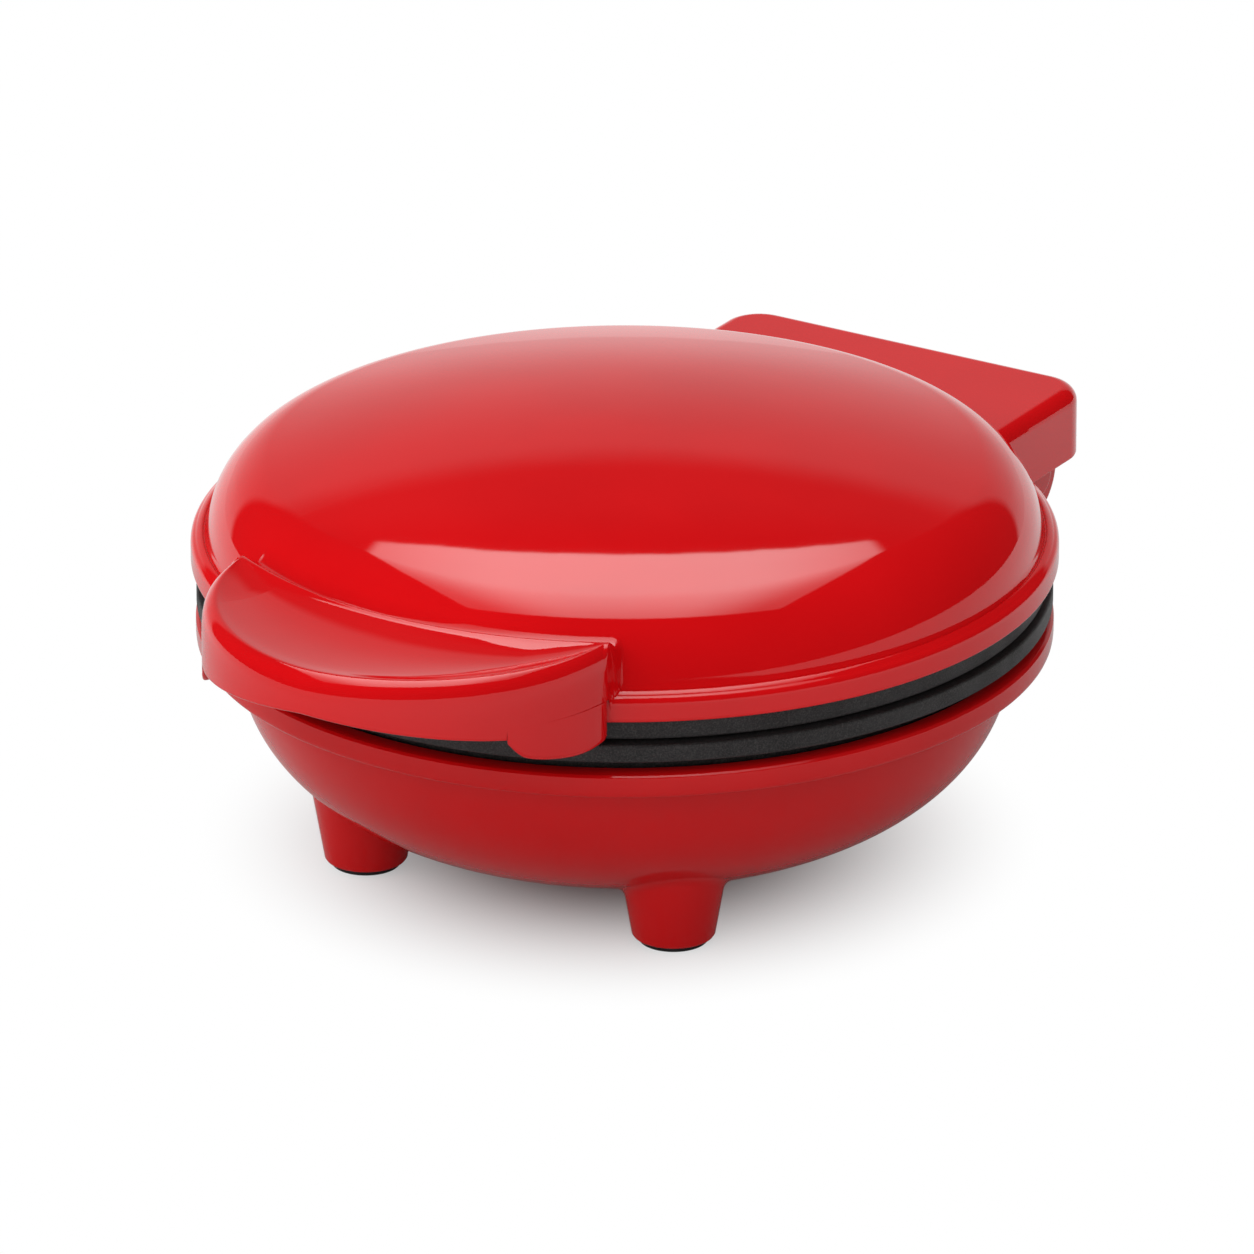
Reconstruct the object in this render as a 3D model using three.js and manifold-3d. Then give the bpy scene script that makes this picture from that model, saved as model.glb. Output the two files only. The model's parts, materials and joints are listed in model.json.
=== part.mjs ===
// Mini sandwich waffle maker: a round clam-shell cooker with a domed lid, a crescent handle at the front
// and a hinge box at the back. Millimetres, +Z up, the handle towards -Y, the hinge towards +Y.
import * as THREE from 'three';
import { mergeVertices } from 'three/addons/utils/BufferGeometryUtils.js';
import Module from 'manifold-3d';

const wasm = await Module();
wasm.setup();

// The lid's rim, which the other radii and lengths of the body follow
const rimRadius = 70;

// Sizes shared by many pieces
const wall = 2;
const gap = 0.3;
const overrun = 1;
const roundSides = 44;
const mediumSides = 22;
const smallSides = 14;
const quarterTurn = Math.PI / 2;
const halfTurn = Math.PI;
const fullTurn = Math.PI * 2;
const degree = Math.PI / 180;
const searchRounds = 40;

// Feet and their rubber pads
const footShareX = 0.4626;
const footShareY = 0.5183;
const footSoleRadius = 6.65;
const footTaper = 9.8 * degree;
const footClearance = 0.9;
const footFloor = 2;
const padRecessDepth = 1.7;
const padInset = 1;

// Base bowl and its rim
const bowlUnderside = 5.6;
const bowlDepth = 29.8;
const bowlFloorShare = 0.423;
const bowlRimOverhang = 6.4;
const bowlRoundShare = 1.06;
const bowlDepthShare = 0.874;
const baseRimInset = 0.7;
const baseRimHeight = 4.2;
const baseLipRound = 1.7;
const baseRimStep = 1;
const lipWidth = 1.6;
const ledgeRise = 1.5;

// Cooking plates
const plateSpacing = 0.8;
const lowerFlangeInset = 0.3;
const lowerFlangeThickness = 3.1;
const shadowGap = 2;
const upperFlangeInset = 1.7;
const upperFlangeShown = 3.3;
const upperFlangeHidden = 2;
const plateThickness = 2.6;
const flangeWeb = 3.3;
const skirtWidth = 3;
const skirtGap = 0.6;
const edgeRound = 0.4;
const flangeWidth = 17.6;
const dishDepth = 6.5;
const dishDraft = 1.6;
const ridgeHeight = 4.2;
const ridgeTopWidth = 2.6;
const ridgeFootWidth = 4;
const ridgeCount = 6;

// Lid
const rimBand = 3.8;
const rimWall = 1.4;
const beadHeight = 1.05;
const grooveDepth = 0.4;
const domeInset = 2.6;
const domeSide = 1.7;
const domeDraft = 11.1 * degree;
const shoulderRadius = 12.9;
const crownAngle = 13.7 * degree;
const flareAngle = 42 * degree;
const lidLedgeWidth = 2.6;

// Crescent handle
const handleHalfWidth = 35.35;
const handleOverlap = 8.4;
const handleProjection = 35.4;
const handleRoundShare = 1.85;
const ridgeLineInset = 0.7;
const ridgeLineRise = 13.5;
const ridgeCrest = 0.65;
const valleyDepth = 0.65;
const dishedDepth = 1.2;
const handleEdgeRound = 1.8;
const handleWall = 1.8;
const handleTop = 2.1;
const noseRise = 6.9;
const archEndRise = 2.9;
const archCurveShare = 1.3;
const partingRise = 4.7;
const coverThickness = 1.6;
const coverRecess = 0.4;
const coverClearance = 0.6;
const tongueDrop = 2.8;
const tongueWidth = 7;
const handleScrewX = 17;
const handleScrewInset = 14.6;

// Hinge box, block, bracket and pin
const boxHalfWidth = 33.5;
const boxBehindRim = 23.3;
const boxTopAboveRim = 5.6;
const boxDrop = 6.3;
const boxCorner = 7;
const boxInnerCorner = 3;
const boxEdgeRound = 2.6;
const boxCornerSteps = 6;
const boxEdgeSteps = 3;
const pinBehindRim = 12.6;
const pinAboveLip = 0.5;
const pinRadius = 1.8;
const pinInset = 0.3;
const barrelRadius = 8.2;
const blockSideInset = 5.1;
const blockRearInset = 6.6;
const blockFloorDrop = 22.5;
const blockOverlap = 20;
const blockShoulder = 2;
const lugInset = 16;
const lugWidth = 4;
const lugRadius = 6;
const swingClearance = 0.5;
const bracketThickness = 1.8;
const bracketSideInset = 6.3;
const bracketFront = 3;
const bracketScrewInset = 3.2;
const capThickness = 1.2;
const capRim = 1.8;
const capRound = 0.5;

// Screws
const screwRadius = 1.2;
const screwHeadRadius = 2.4;
const screwHeadHeight = 1.5;
const screwBite = 3.4;
const bossWall = 1.7;
const plateScrewCount = 3;
const plateScrewShare = 0.4375;
const postShoulder = 1.3;
const postWall = 1.4;
const headRecess = 5.2;

// Heaters, shields and controls
const elementRadius = 3.1;
const elementRingShare = 0.69;
const elementEndSpacing = 20.7;
const elementTail = 9;
const elementSteps = 34;
const elementSides = 8;
const shieldThickness = 0.8;
const shieldOverhang = 1.6;
const shieldRim = 4;
const shieldSides = 32;
const thermostatRadius = 7;
const thermostatFlange = 9;
const thermostatHeight = 5.6;
const thermostatFlangeHeight = 1.2;
const bladeLength = 4;
const bladeWidth = 2.4;
const bladeThickness = 0.8;
const fuseRadius = 1.8;
const fuseLength = 12;
const fuseSetBack = 17;
const clipWidth = 4;
const clipThickness = 0.6;
const clipFoot = 2.5;
const clipSteps = 8;
const terminalWidth = 18;
const terminalDepth = 8;
const terminalHeight = 8.5;
const terminalRound = 0.8;
const leadRadius = 0.9;
const leadSides = 8;
const leadSteps = 14;
const leadSpread = 5;
const glandBore = 2.6;
const glandBody = 3.9;
const glandFlange = 5;
const glandFlangeThickness = 1.5;

// Radii and reaches that follow the lid's rim
const baseRimRadius = rimRadius - baseRimInset;
const bowlTopRadius = baseRimRadius - bowlRimOverhang;
const bowlFloorRadius = bowlTopRadius * bowlFloorShare;
const footReachX = bowlTopRadius * footShareX;
const footReachY = bowlTopRadius * footShareY;
const lowerFlangeRadius = baseRimRadius - lowerFlangeInset;
const upperFlangeRadius = rimRadius - upperFlangeInset;
const dishRadius = lowerFlangeRadius - flangeWidth;
const domeBaseRadius = rimRadius - domeInset;
const handleSetBack = rimRadius - handleOverlap;
const ridgeLineRadius = rimRadius - ridgeLineInset;
const boxRear = rimRadius + boxBehindRim;
const blockFront = rimRadius - blockOverlap;
const blockHalfWidth = boxHalfWidth - blockSideInset;
const bracketHalfWidth = boxHalfWidth - bracketSideInset;
const bracketScrewX = bracketHalfWidth - bracketScrewInset;
const shieldRadius = dishRadius + shieldOverhang;
const plateScrewRing = dishRadius * plateScrewShare;
const elementRing = dishRadius * elementRingShare;
const elementGap = Math.asin(elementEndSpacing / 2 / elementRing);

// Levels, from the ground up
const bowlTop = bowlUnderside + bowlDepth;
const lipTop = bowlTop + baseRimHeight;
const ledgeTop = bowlTop + ledgeRise;
const lowerFlangeBottom = lipTop + shadowGap;
const lowerPlateTop = lowerFlangeBottom + lowerFlangeThickness;
const lowerDishFloor = lowerPlateTop - dishDepth;
const lowerPlateBack = lowerDishFloor - plateThickness;
const upperPlateBottom = lowerPlateTop + plateSpacing;
const upperDishFloor = upperPlateBottom + dishDepth;
const upperPlateBack = upperDishFloor + plateThickness;
const lidBottom = upperPlateBottom + upperFlangeShown;
const lidLedge = lidBottom + upperFlangeHidden + gap;
const bandTop = lidBottom + rimBand;
const beadTop = bandTop + beadHeight;
const domeBase = beadTop + grooveDepth;
const ridgeLine = lidBottom + ridgeLineRise;
const boxTop = lidBottom + boxTopAboveRim;
const boxBottom = lidBottom - boxDrop;
const pinY = rimRadius + pinBehindRim;
const pinZ = lipTop + pinAboveLip;

// Materials, coloured as the photographed pieces are
function finish(color, roughness, metalness) {
  return new THREE.MeshStandardMaterial({ color, roughness, metalness });
}
const lidRed = finish(0xc8141c, 0.12, 0);
const baseRed = finish(0xa8161c, 0.18, 0);
const nonStick = finish(0x2e2a2a, 0.55, 0.3);
const rubber = finish(0x161514, 0.85, 0);
const steel = finish(0xb4b6b8, 0.35, 1);
const zincSteel = finish(0x9a9c98, 0.5, 1);
const heaterSteel = finish(0x6c6a66, 0.5, 1);
const ceramic = finish(0xe6e0d2, 0.7, 0);
const leadSleeve = finish(0xd8d4c8, 0.8, 0);

// A closed mesh as a solid, with its faces turned outwards
function toSolid(geometry) {
  const bare = geometry.clone();
  bare.deleteAttribute('normal');
  bare.deleteAttribute('uv');
  const merged = mergeVertices(bare);
  const vertProperties = new Float32Array(merged.getAttribute('position').array);
  const corners = merged.index.array;
  const corner = (index) => new THREE.Vector3().fromArray(vertProperties, index * 3);
  const kept = [];
  let volume = 0;
  for (let start = 0; start < corners.length; start += 3) {
    const [a, b, c] = corners.slice(start, start + 3);
    if (a === b || b === c || c === a) {
      continue;
    }
    kept.push([a, b, c]);
    volume += corner(a).dot(corner(b).cross(corner(c)));
  }
  const turned = volume < 0 ? kept.map(([a, b, c]) => [a, c, b]) : kept;
  const triVerts = new Uint32Array(turned.flat());
  return new wasm.Manifold(new wasm.Mesh({ numProp: 3, vertProperties, triVerts }));
}

function joined(solids) {
  return solids.reduce((whole, solid) => whole.add(solid));
}

function cut(solid, cutters) {
  return cutters.reduce((rest, cutter) => rest.subtract(cutter), solid);
}

// Turned forms: a profile of [radius, height] pairs, turned about +Z
function turnedGeometry(profile, sides = roundSides) {
  const points = profile.map(([radius, height]) => new THREE.Vector2(radius, height));
  return new THREE.LatheGeometry(points, sides).rotateX(quarterTurn);
}

function turned(profile, sides) {
  return toSolid(turnedGeometry(profile, sides));
}

function turnedAt(profile, x, y, sides = smallSides) {
  return toSolid(turnedGeometry(profile, sides).translate(x, y, 0));
}

function drum(radius, bottom, top) {
  return [[0, bottom], [radius, bottom], [radius, top], [0, top]];
}

// A turned form about a line along X through the hinge pin
function turnedOnPin(profile, sides = smallSides) {
  return toSolid(turnedGeometry(profile, sides).rotateY(quarterTurn).translate(0, pinY, pinZ));
}

// An outline in plan, raised from one level to another
function raised(shape, bottom, top) {
  const depth = top - bottom;
  return toSolid(new THREE.ExtrudeGeometry(shape, { depth, bevelEnabled: false }).translate(0, 0, bottom));
}

// An outline of [y, z] pairs, drawn out along X
function drawnAlongX(outline, left, right) {
  const shape = new THREE.Shape(outline.map(([y, z]) => new THREE.Vector2(y, z)));
  const geometry = new THREE.ExtrudeGeometry(shape, { depth: right - left, bevelEnabled: false });
  geometry.rotateY(quarterTurn).rotateX(quarterTurn);
  return toSolid(geometry.translate(left, 0, 0));
}

function block(left, right, front, rear, bottom, top) {
  const geometry = new THREE.BoxGeometry(right - left, rear - front, top - bottom);
  geometry.translate((left + right) / 2, (front + rear) / 2, (bottom + top) / 2);
  return toSolid(geometry);
}

// A round tube along a curve
function tube(curve, radius, sides, steps) {
  const ring = new THREE.Shape();
  for (let side = 0; side < sides; side += 1) {
    const angle = (side / sides) * fullTurn;
    const point = [radius * Math.cos(angle), radius * Math.sin(angle)];
    if (side === 0) {
      ring.moveTo(...point);
    } else {
      ring.lineTo(...point);
    }
  }
  ring.closePath();
  return toSolid(new THREE.ExtrudeGeometry(ring, { steps, extrudePath: curve }));
}

function mix(from, to, share) {
  return from + (to - from) * share;
}

// The names of the pieces and their solids
const cooker = new THREE.Group();

function addPiece(name, solid, material) {
  const { numProp, vertProperties, triVerts } = solid.getMesh();
  const geometry = new THREE.BufferGeometry();
  geometry.setAttribute('position', new THREE.BufferAttribute(vertProperties, numProp));
  geometry.setIndex(new THREE.BufferAttribute(triVerts, 1));
  geometry.computeVertexNormals();
  const mesh = new THREE.Mesh(geometry, material);
  mesh.name = name;
  cooker.add(mesh);
}

const leftAndRight = [['left', -1], ['right', 1]];
const frontAndRear = [['front', -1], ['rear', 1]];
const footPlaces = frontAndRear.flatMap(([end, y]) => leftAndRight.map(([side, x]) => ({
  name: `${end}_${side}`,
  x: x * footReachX,
  y: y * footReachY,
})));
const plateScrewPlaces = Array.from({ length: plateScrewCount }, (_, index) => {
  const angle = (index / plateScrewCount) * fullTurn + quarterTurn;
  return { name: String(index + 1), x: plateScrewRing * Math.cos(angle), y: plateScrewRing * Math.sin(angle) };
});

// A pan-head screw with its head's bearing face at one level; reach is negative when it points down
function screw(x, y, seat, reach) {
  const way = Math.sign(reach);
  const headTop = seat - way * screwHeadHeight;
  const headSide = seat - way * screwHeadHeight / 2;
  const crownRadius = screwHeadRadius - screwHeadHeight / 2;
  return turnedAt([
    [0, headTop],
    [crownRadius, headTop],
    [screwHeadRadius, headSide],
    [screwHeadRadius, seat],
    [screwRadius, seat],
    [screwRadius, seat + reach],
    [0, seat + reach],
  ], x, y);
}

// Feet
function footRadiusAt(height) {
  return footSoleRadius + (height - footClearance) * Math.tan(footTaper);
}

const padRecessTop = footClearance + padRecessDepth;
const padRadius = footSoleRadius - padInset;
const footHollowBottom = padRecessTop + footFloor;
const footTop = (bowlUnderside + bowlTop) / 2;

function footOuter({ x, y }) {
  const profile = [[0, footClearance], [footSoleRadius, footClearance], [footRadiusAt(footTop), footTop], [0, footTop]];
  return turnedAt(profile, x, y, mediumSides);
}

function footInner({ x, y }) {
  return turnedAt([
    [0, footHollowBottom],
    [footRadiusAt(footHollowBottom) - wall, footHollowBottom],
    [footRadiusAt(footTop) - wall, footTop + overrun],
    [0, footTop + overrun],
  ], x, y);
}

function padRecess({ x, y }) {
  return turnedAt(drum(padRadius + gap, footClearance - overrun, padRecessTop), x, y);
}

for (const place of footPlaces) {
  const pad = turnedAt(drum(padRadius, 0, padRecessTop - gap), place.x, place.y);
  addPiece(`foot_pad_${place.name}`, pad, rubber);
}

// Bowl profile: a rounded side from the flat floor up to the rim, set in by an inset
const bowlSteps = 7;

function bowlSide(inset) {
  const points = [];
  for (let step = 0; step <= bowlSteps; step += 1) {
    const angle = quarterTurn * (1 - step / bowlSteps);
    const spread = (bowlTopRadius - inset - bowlFloorRadius) * Math.cos(angle) ** bowlRoundShare;
    const drop = (bowlDepth - inset) * Math.sin(angle) ** bowlDepthShare;
    points.push([bowlFloorRadius + spread, bowlTop - drop]);
  }
  return points;
}

const lipInner = baseRimRadius - baseLipRound - lipWidth;

function baseBody() {
  return turned([
    [0, bowlUnderside],
    ...bowlSide(0),
    [baseRimRadius - baseRimStep, bowlTop + baseRimStep / 2],
    [baseRimRadius - baseRimStep / 5, bowlTop + baseRimStep],
    [baseRimRadius, bowlTop + baseRimStep + baseLipRound / 2],
    [baseRimRadius - baseLipRound / 8, lipTop - baseLipRound / 2],
    [baseRimRadius - baseLipRound / 2, lipTop - baseLipRound / 8],
    [baseRimRadius - baseLipRound, lipTop],
    [0, lipTop],
  ]);
}

function baseChamber() {
  const inside = bowlTopRadius - wall;
  return turned([
    [0, bowlUnderside + wall],
    ...bowlSide(wall),
    [inside, ledgeTop],
    [lipInner, ledgeTop],
    [lipInner, lipTop + overrun],
    [0, lipTop + overrun],
  ]);
}

// Posts in the bowl carry the lower shield on a shoulder and take the plate's screws from below
const elementBottom = lowerPlateBack - gap - elementRadius * 2;
const lowerShieldBottom = elementBottom - gap - shieldThickness;
const postShoulderTop = lowerShieldBottom - gap;
const bossRadius = screwRadius + gap + bossWall;
const lowerBossBottom = lowerPlateBack - screwBite;
const postTop = lowerBossBottom - gap;
const postNeck = screwRadius + gap + postShoulder;
const postRadius = screwHeadRadius + gap * 2 + postWall;
const screwSeat = bowlUnderside + headRecess;
const postBottom = bowlUnderside + wall / 2;

function post({ x, y }) {
  return turnedAt([
    [0, postBottom],
    [postRadius, postBottom],
    [postRadius, postShoulderTop],
    [postNeck, postShoulderTop],
    [postNeck, postTop],
    [0, postTop],
  ], x, y);
}

function postBore({ x, y }) {
  const headBore = screwHeadRadius + gap * 2;
  return turnedAt([
    [0, 0],
    [headBore, 0],
    [headBore, screwSeat],
    [screwRadius + gap, screwSeat],
    [screwRadius + gap, postTop + overrun],
    [0, postTop + overrun],
  ], x, y);
}

// The hinge block at the back of the bowl, hollow behind the bowl's wall
const blockRear = pinY - blockRearInset;
const blockFloor = lipTop - blockFloorDrop;
const barrelBottom = pinZ - barrelRadius;
const glandZ = blockFloor + wall + gap + glandFlange;

function hingeBlock() {
  const web = drawnAlongX([
    [blockFront, lipTop],
    [blockFront, blockFloor],
    [blockRear, blockFloor],
    [blockRear, barrelBottom - blockShoulder],
    [blockRear + blockShoulder, barrelBottom],
    [pinY, barrelBottom],
    [pinY, lipTop],
  ], -blockHalfWidth, blockHalfWidth);
  return web.add(turnedOnPin(drum(barrelRadius, -blockHalfWidth, blockHalfWidth), mediumSides));
}

function hingeBlockCavity() {
  const side = blockHalfWidth - wall;
  return block(-side, side, blockFront - overrun, blockRear - wall, blockFloor + wall, bowlTop);
}

function lugSlot(way) {
  const ends = [way * (lugInset - gap), way * (lugInset + lugWidth + gap)];
  return turnedOnPin(drum(barrelRadius + swingClearance, Math.min(...ends), Math.max(...ends)), mediumSides);
}

function glandBoreCutter() {
  const geometry = new THREE.CylinderGeometry(glandBody + gap, glandBody + gap, wall + overrun * 2, smallSides);
  return toSolid(geometry.translate(0, blockRear - wall / 2, glandZ));
}

const pinBore = turnedOnPin(drum(pinRadius + gap, -blockHalfWidth - overrun, blockHalfWidth + overrun));

const baseShell = cut(joined([
  cut(joined([baseBody(), hingeBlock(), ...footPlaces.map(footOuter)]), [baseChamber()]),
  ...plateScrewPlaces.map(post),
]), [
  hingeBlockCavity(),
  ...footPlaces.map(footInner),
  ...footPlaces.map(padRecess),
  ...plateScrewPlaces.map(postBore),
  lugSlot(-1),
  lugSlot(1),
  glandBoreCutter(),
  pinBore,
]);
addPiece('base_shell', baseShell, baseRed);

// Cooking plates: a dish crossed by ridges, a flange round it and bosses for its screws.
// Heights are given from the cooking face, positive towards the back of the plate.
const dishBackRadius = dishRadius + plateThickness / 2;
const webRadius = dishBackRadius + dishDraft;
const sunkDepth = dishDepth + plateThickness / 2;

function ridges(level) {
  const pitch = dishRadius * 2 / (ridgeCount + 1);
  const bars = [];
  for (let index = 0; index < ridgeCount; index += 1) {
    const middle = (index - (ridgeCount - 1) / 2) * pitch;
    const shape = new THREE.Shape([
      new THREE.Vector2(-ridgeFootWidth / 2, level(sunkDepth)),
      new THREE.Vector2(ridgeFootWidth / 2, level(sunkDepth)),
      new THREE.Vector2(ridgeTopWidth / 2, level(dishDepth - ridgeHeight)),
      new THREE.Vector2(-ridgeTopWidth / 2, level(dishDepth - ridgeHeight)),
    ]);
    const long = { depth: dishRadius * 2, bevelEnabled: false };
    const bar = new THREE.ExtrudeGeometry(shape, long).rotateX(quarterTurn).translate(middle, dishRadius, 0);
    bars.push(toSolid(bar), toSolid(bar.clone().rotateZ(quarterTurn)));
  }
  return joined(bars).intersect(turned(drum(dishRadius, level(0), level(sunkDepth))));
}

function plate(level, flangeRadius, flangeDepth, skirtRadius, skirtBottom) {
  const body = turned([
    [0, level(dishDepth)],
    [dishRadius - dishDraft, level(dishDepth)],
    [dishRadius, level(0)],
    [flangeRadius - edgeRound, level(0)],
    [flangeRadius, level(edgeRound)],
    [flangeRadius, level(flangeDepth)],
    [skirtRadius, level(flangeDepth)],
    [skirtRadius, level(skirtBottom)],
    [skirtRadius - skirtWidth, level(skirtBottom)],
    [skirtRadius - skirtWidth, level(flangeWeb)],
    [webRadius, level(flangeWeb)],
    [dishBackRadius, level(dishDepth + plateThickness)],
    [0, level(dishDepth + plateThickness)],
  ]);
  return body.add(ridges(level));
}

function plateBosses(level, bossDepth) {
  return plateScrewPlaces.map(({ x, y }) => turnedAt(drum(bossRadius, level(sunkDepth), level(bossDepth)), x, y));
}

function bossHoles(level, bossDepth) {
  const blind = sunkDepth;
  const open = bossDepth + overrun;
  return plateScrewPlaces.map(({ x, y }) => turnedAt(drum(screwRadius + gap, level(blind), level(open)), x, y));
}

const lowerLevel = (depth) => lowerPlateTop - depth;
const upperLevel = (depth) => upperPlateBottom + depth;

const lowerBossDepth = lowerPlateTop - lowerBossBottom;
const lowerSkirtRadius = lipInner - skirtGap;
const lowerSkirtBottom = lowerPlateTop - ledgeTop - gap;
const lowerPlate = cut(joined([
  plate(lowerLevel, lowerFlangeRadius, lowerFlangeThickness, lowerSkirtRadius, lowerSkirtBottom),
  ...plateBosses(lowerLevel, lowerBossDepth),
]), bossHoles(lowerLevel, lowerBossDepth));
addPiece('lower_plate', lowerPlate, nonStick);

const upperShieldBottom = upperPlateBack + gap + elementRadius * 2 + gap;
const upperBossTop = upperShieldBottom - gap;
const upperBossDepth = upperBossTop - upperPlateBottom;
const upperFlangeDepth = upperFlangeShown + upperFlangeHidden;
const upperSkirtRadius = upperFlangeRadius - skirtWidth;
const upperPlate = cut(joined([
  plate(upperLevel, upperFlangeRadius, upperFlangeDepth, upperSkirtRadius, flangeWeb + gap),
  ...plateBosses(upperLevel, upperBossDepth),
]), bossHoles(upperLevel, upperBossDepth));
addPiece('upper_plate', upperPlate, nonStick);

for (const { name, x, y } of plateScrewPlaces) {
  const lowerReach = lowerLevel(sunkDepth) - gap - (screwSeat - gap);
  addPiece(`lower_plate_screw_${name}`, screw(x, y, screwSeat - gap, lowerReach), zincSteel);
  const upperSeat = upperShieldBottom + shieldThickness + gap;
  const upperReach = upperLevel(sunkDepth) + gap - upperSeat;
  addPiece(`upper_plate_screw_${name}`, screw(x, y, upperSeat, upperReach), zincSteel);
}

// Heat shields: pans with a turned-up rim, drilled for the screws
function shield(level, holeRadius) {
  const rimFlare = shieldRim / 2;
  const pan = turned([
    [0, level(0)],
    [shieldRadius, level(0)],
    [shieldRadius + rimFlare, level(shieldRim)],
    [shieldRadius + rimFlare - shieldThickness, level(shieldRim)],
    [shieldRadius - shieldThickness, level(shieldThickness)],
    [0, level(shieldThickness)],
  ], shieldSides);
  const far = shieldThickness + overrun;
  const holes = plateScrewPlaces.map(({ x, y }) => {
    const ends = [level(-overrun), level(far)];
    return turnedAt(drum(holeRadius, Math.min(...ends), Math.max(...ends)), x, y);
  });
  return cut(pan, holes);
}

const lowerShield = shield((rise) => lowerShieldBottom + rise, postNeck + gap);
addPiece('lower_heat_shield', lowerShield, steel);
const upperShieldTop = upperShieldBottom + shieldThickness;
const upperShield = shield((rise) => upperShieldTop - rise, screwRadius + gap);
addPiece('upper_heat_shield', upperShield, steel);

// Tubular heaters: nearly a full ring with both ends turned outwards at the back
const ringPoints = 22;
const elementTailX = elementRing * Math.sin(elementGap);
const elementTailY = elementRing * Math.cos(elementGap) + elementTail;

function element(level) {
  const points = [];
  const sweep = fullTurn - elementGap * 2;
  points.push(new THREE.Vector3(elementTailX, elementTailY, level));
  for (let index = 0; index <= ringPoints; index += 1) {
    const angle = quarterTurn - elementGap - (index / ringPoints) * sweep;
    points.push(new THREE.Vector3(elementRing * Math.cos(angle), elementRing * Math.sin(angle), level));
  }
  points.push(new THREE.Vector3(-elementTailX, elementTailY, level));
  return tube(new THREE.CatmullRomCurve3(points), elementRadius, elementSides, elementSteps);
}

const lowerElementLevel = lowerPlateBack - gap - elementRadius;
const upperElementLevel = upperPlateBack + gap + elementRadius;
addPiece('lower_element', element(lowerElementLevel), heaterSteel);
addPiece('upper_element', element(upperElementLevel), heaterSteel);

// Thermostat with two blades, under the middle of the lower plate
const thermostatTop = lowerPlateBack - gap;
const bladeTop = thermostatTop - thermostatFlangeHeight - gap * 2;
const thermostatBody = turned([
  [0, thermostatTop],
  [thermostatFlange, thermostatTop],
  [thermostatFlange, thermostatTop - thermostatFlangeHeight],
  [thermostatRadius, thermostatTop - thermostatFlangeHeight],
  [thermostatRadius, thermostatTop - thermostatHeight],
  [0, thermostatTop - thermostatHeight],
], mediumSides);
const blades = leftAndRight.map(([, way]) => block(
  way * leadSpread - bladeWidth / 2,
  way * leadSpread + bladeWidth / 2,
  0,
  thermostatRadius + bladeLength,
  bladeTop - bladeThickness,
  bladeTop,
));
addPiece('thermostat', joined([thermostatBody, ...blades]), ceramic);

// Thermal fuse under the lower plate, held by a strap
const fuseZ = lowerPlateBack - gap * 2 - clipThickness - fuseRadius;
const fuseY = -fuseSetBack;
const fuseProfile = [
  [0, -fuseLength / 2],
  [fuseRadius - edgeRound, -fuseLength / 2],
  [fuseRadius, -fuseLength / 2 + edgeRound],
  [fuseRadius, fuseLength / 2 - edgeRound],
  [fuseRadius - edgeRound, fuseLength / 2],
  [0, fuseLength / 2],
];
const fuseGeometry = turnedGeometry(fuseProfile, smallSides).rotateY(quarterTurn).translate(0, fuseY, fuseZ);
addPiece('thermal_fuse', toSolid(fuseGeometry), ceramic);

function clipOutline() {
  const inner = fuseRadius + gap;
  const outer = inner + clipThickness;
  const footTopLevel = lowerPlateBack - gap;
  const footLow = footTopLevel - clipThickness;
  const arc = (radius, from, to) => Array.from({ length: clipSteps + 1 }, (_, index) => {
    const angle = mix(from, to, index / clipSteps);
    return [fuseY + radius * Math.cos(angle), fuseZ + radius * Math.sin(angle)];
  });
  return [
    [fuseY - outer - clipFoot, footTopLevel],
    [fuseY - outer - clipFoot, footLow],
    [fuseY - outer, footLow],
    ...arc(outer, halfTurn, fullTurn),
    [fuseY + outer, footLow],
    [fuseY + outer + clipFoot, footLow],
    [fuseY + outer + clipFoot, footTopLevel],
    [fuseY + inner, footTopLevel],
    ...arc(inner, fullTurn, halfTurn),
    [fuseY - inner, footTopLevel],
  ];
}
addPiece('fuse_clip', drawnAlongX(clipOutline(), -clipWidth / 2, clipWidth / 2), zincSteel);

// Terminal block on the floor of the hinge block, and the leads that run forward from it
const terminalBottom = blockFloor + wall + gap;
const terminalRear = blockRear - wall - glandFlangeThickness - gap * 3;
const terminalFront = terminalRear - terminalDepth;
const terminalSide = terminalWidth / 2;
const terminalTop = terminalBottom + terminalHeight;
const terminalOutline = [
  [terminalFront, terminalBottom],
  [terminalRear, terminalBottom],
  [terminalRear, terminalTop - terminalRound],
  [terminalRear - terminalRound, terminalTop],
  [terminalFront + terminalRound, terminalTop],
  [terminalFront, terminalTop - terminalRound],
];
addPiece('terminal_block', drawnAlongX(terminalOutline, -terminalSide, terminalSide), ceramic);

function lead(points) {
  const curve = new THREE.CatmullRomCurve3(points.map(([x, y, z]) => new THREE.Vector3(x, y, z)));
  return tube(curve, leadRadius, leadSides, leadSteps);
}

const leadStartY = terminalFront - gap;
const leadStartZ = terminalTop - terminalHeight / 2;
const leadLevel = lowerShieldBottom + shieldThickness + gap + leadRadius;
const leadDipY = shieldRadius - shieldRim;
for (const [side, way] of leftAndRight) {
  const end = [way * leadSpread, thermostatRadius + bladeLength + gap, bladeTop - bladeThickness / 2];
  addPiece(`thermostat_lead_${side}`, lead([
    [way * leadSpread, leadStartY, leadStartZ],
    [way * leadSpread, leadStartY - leadRadius * 3, leadStartZ],
    [way * leadSpread, shieldRadius + shieldRim, lowerPlateBack - leadRadius * 2],
    [way * leadSpread, leadDipY, lowerPlateBack - leadRadius * 3],
    [way * leadSpread, mix(leadDipY, end[1], 1 / 2), leadLevel + leadRadius],
    [way * leadSpread, end[1] + leadRadius * 3, end[2]],
    end,
  ]), leadSleeve);
}

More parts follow.
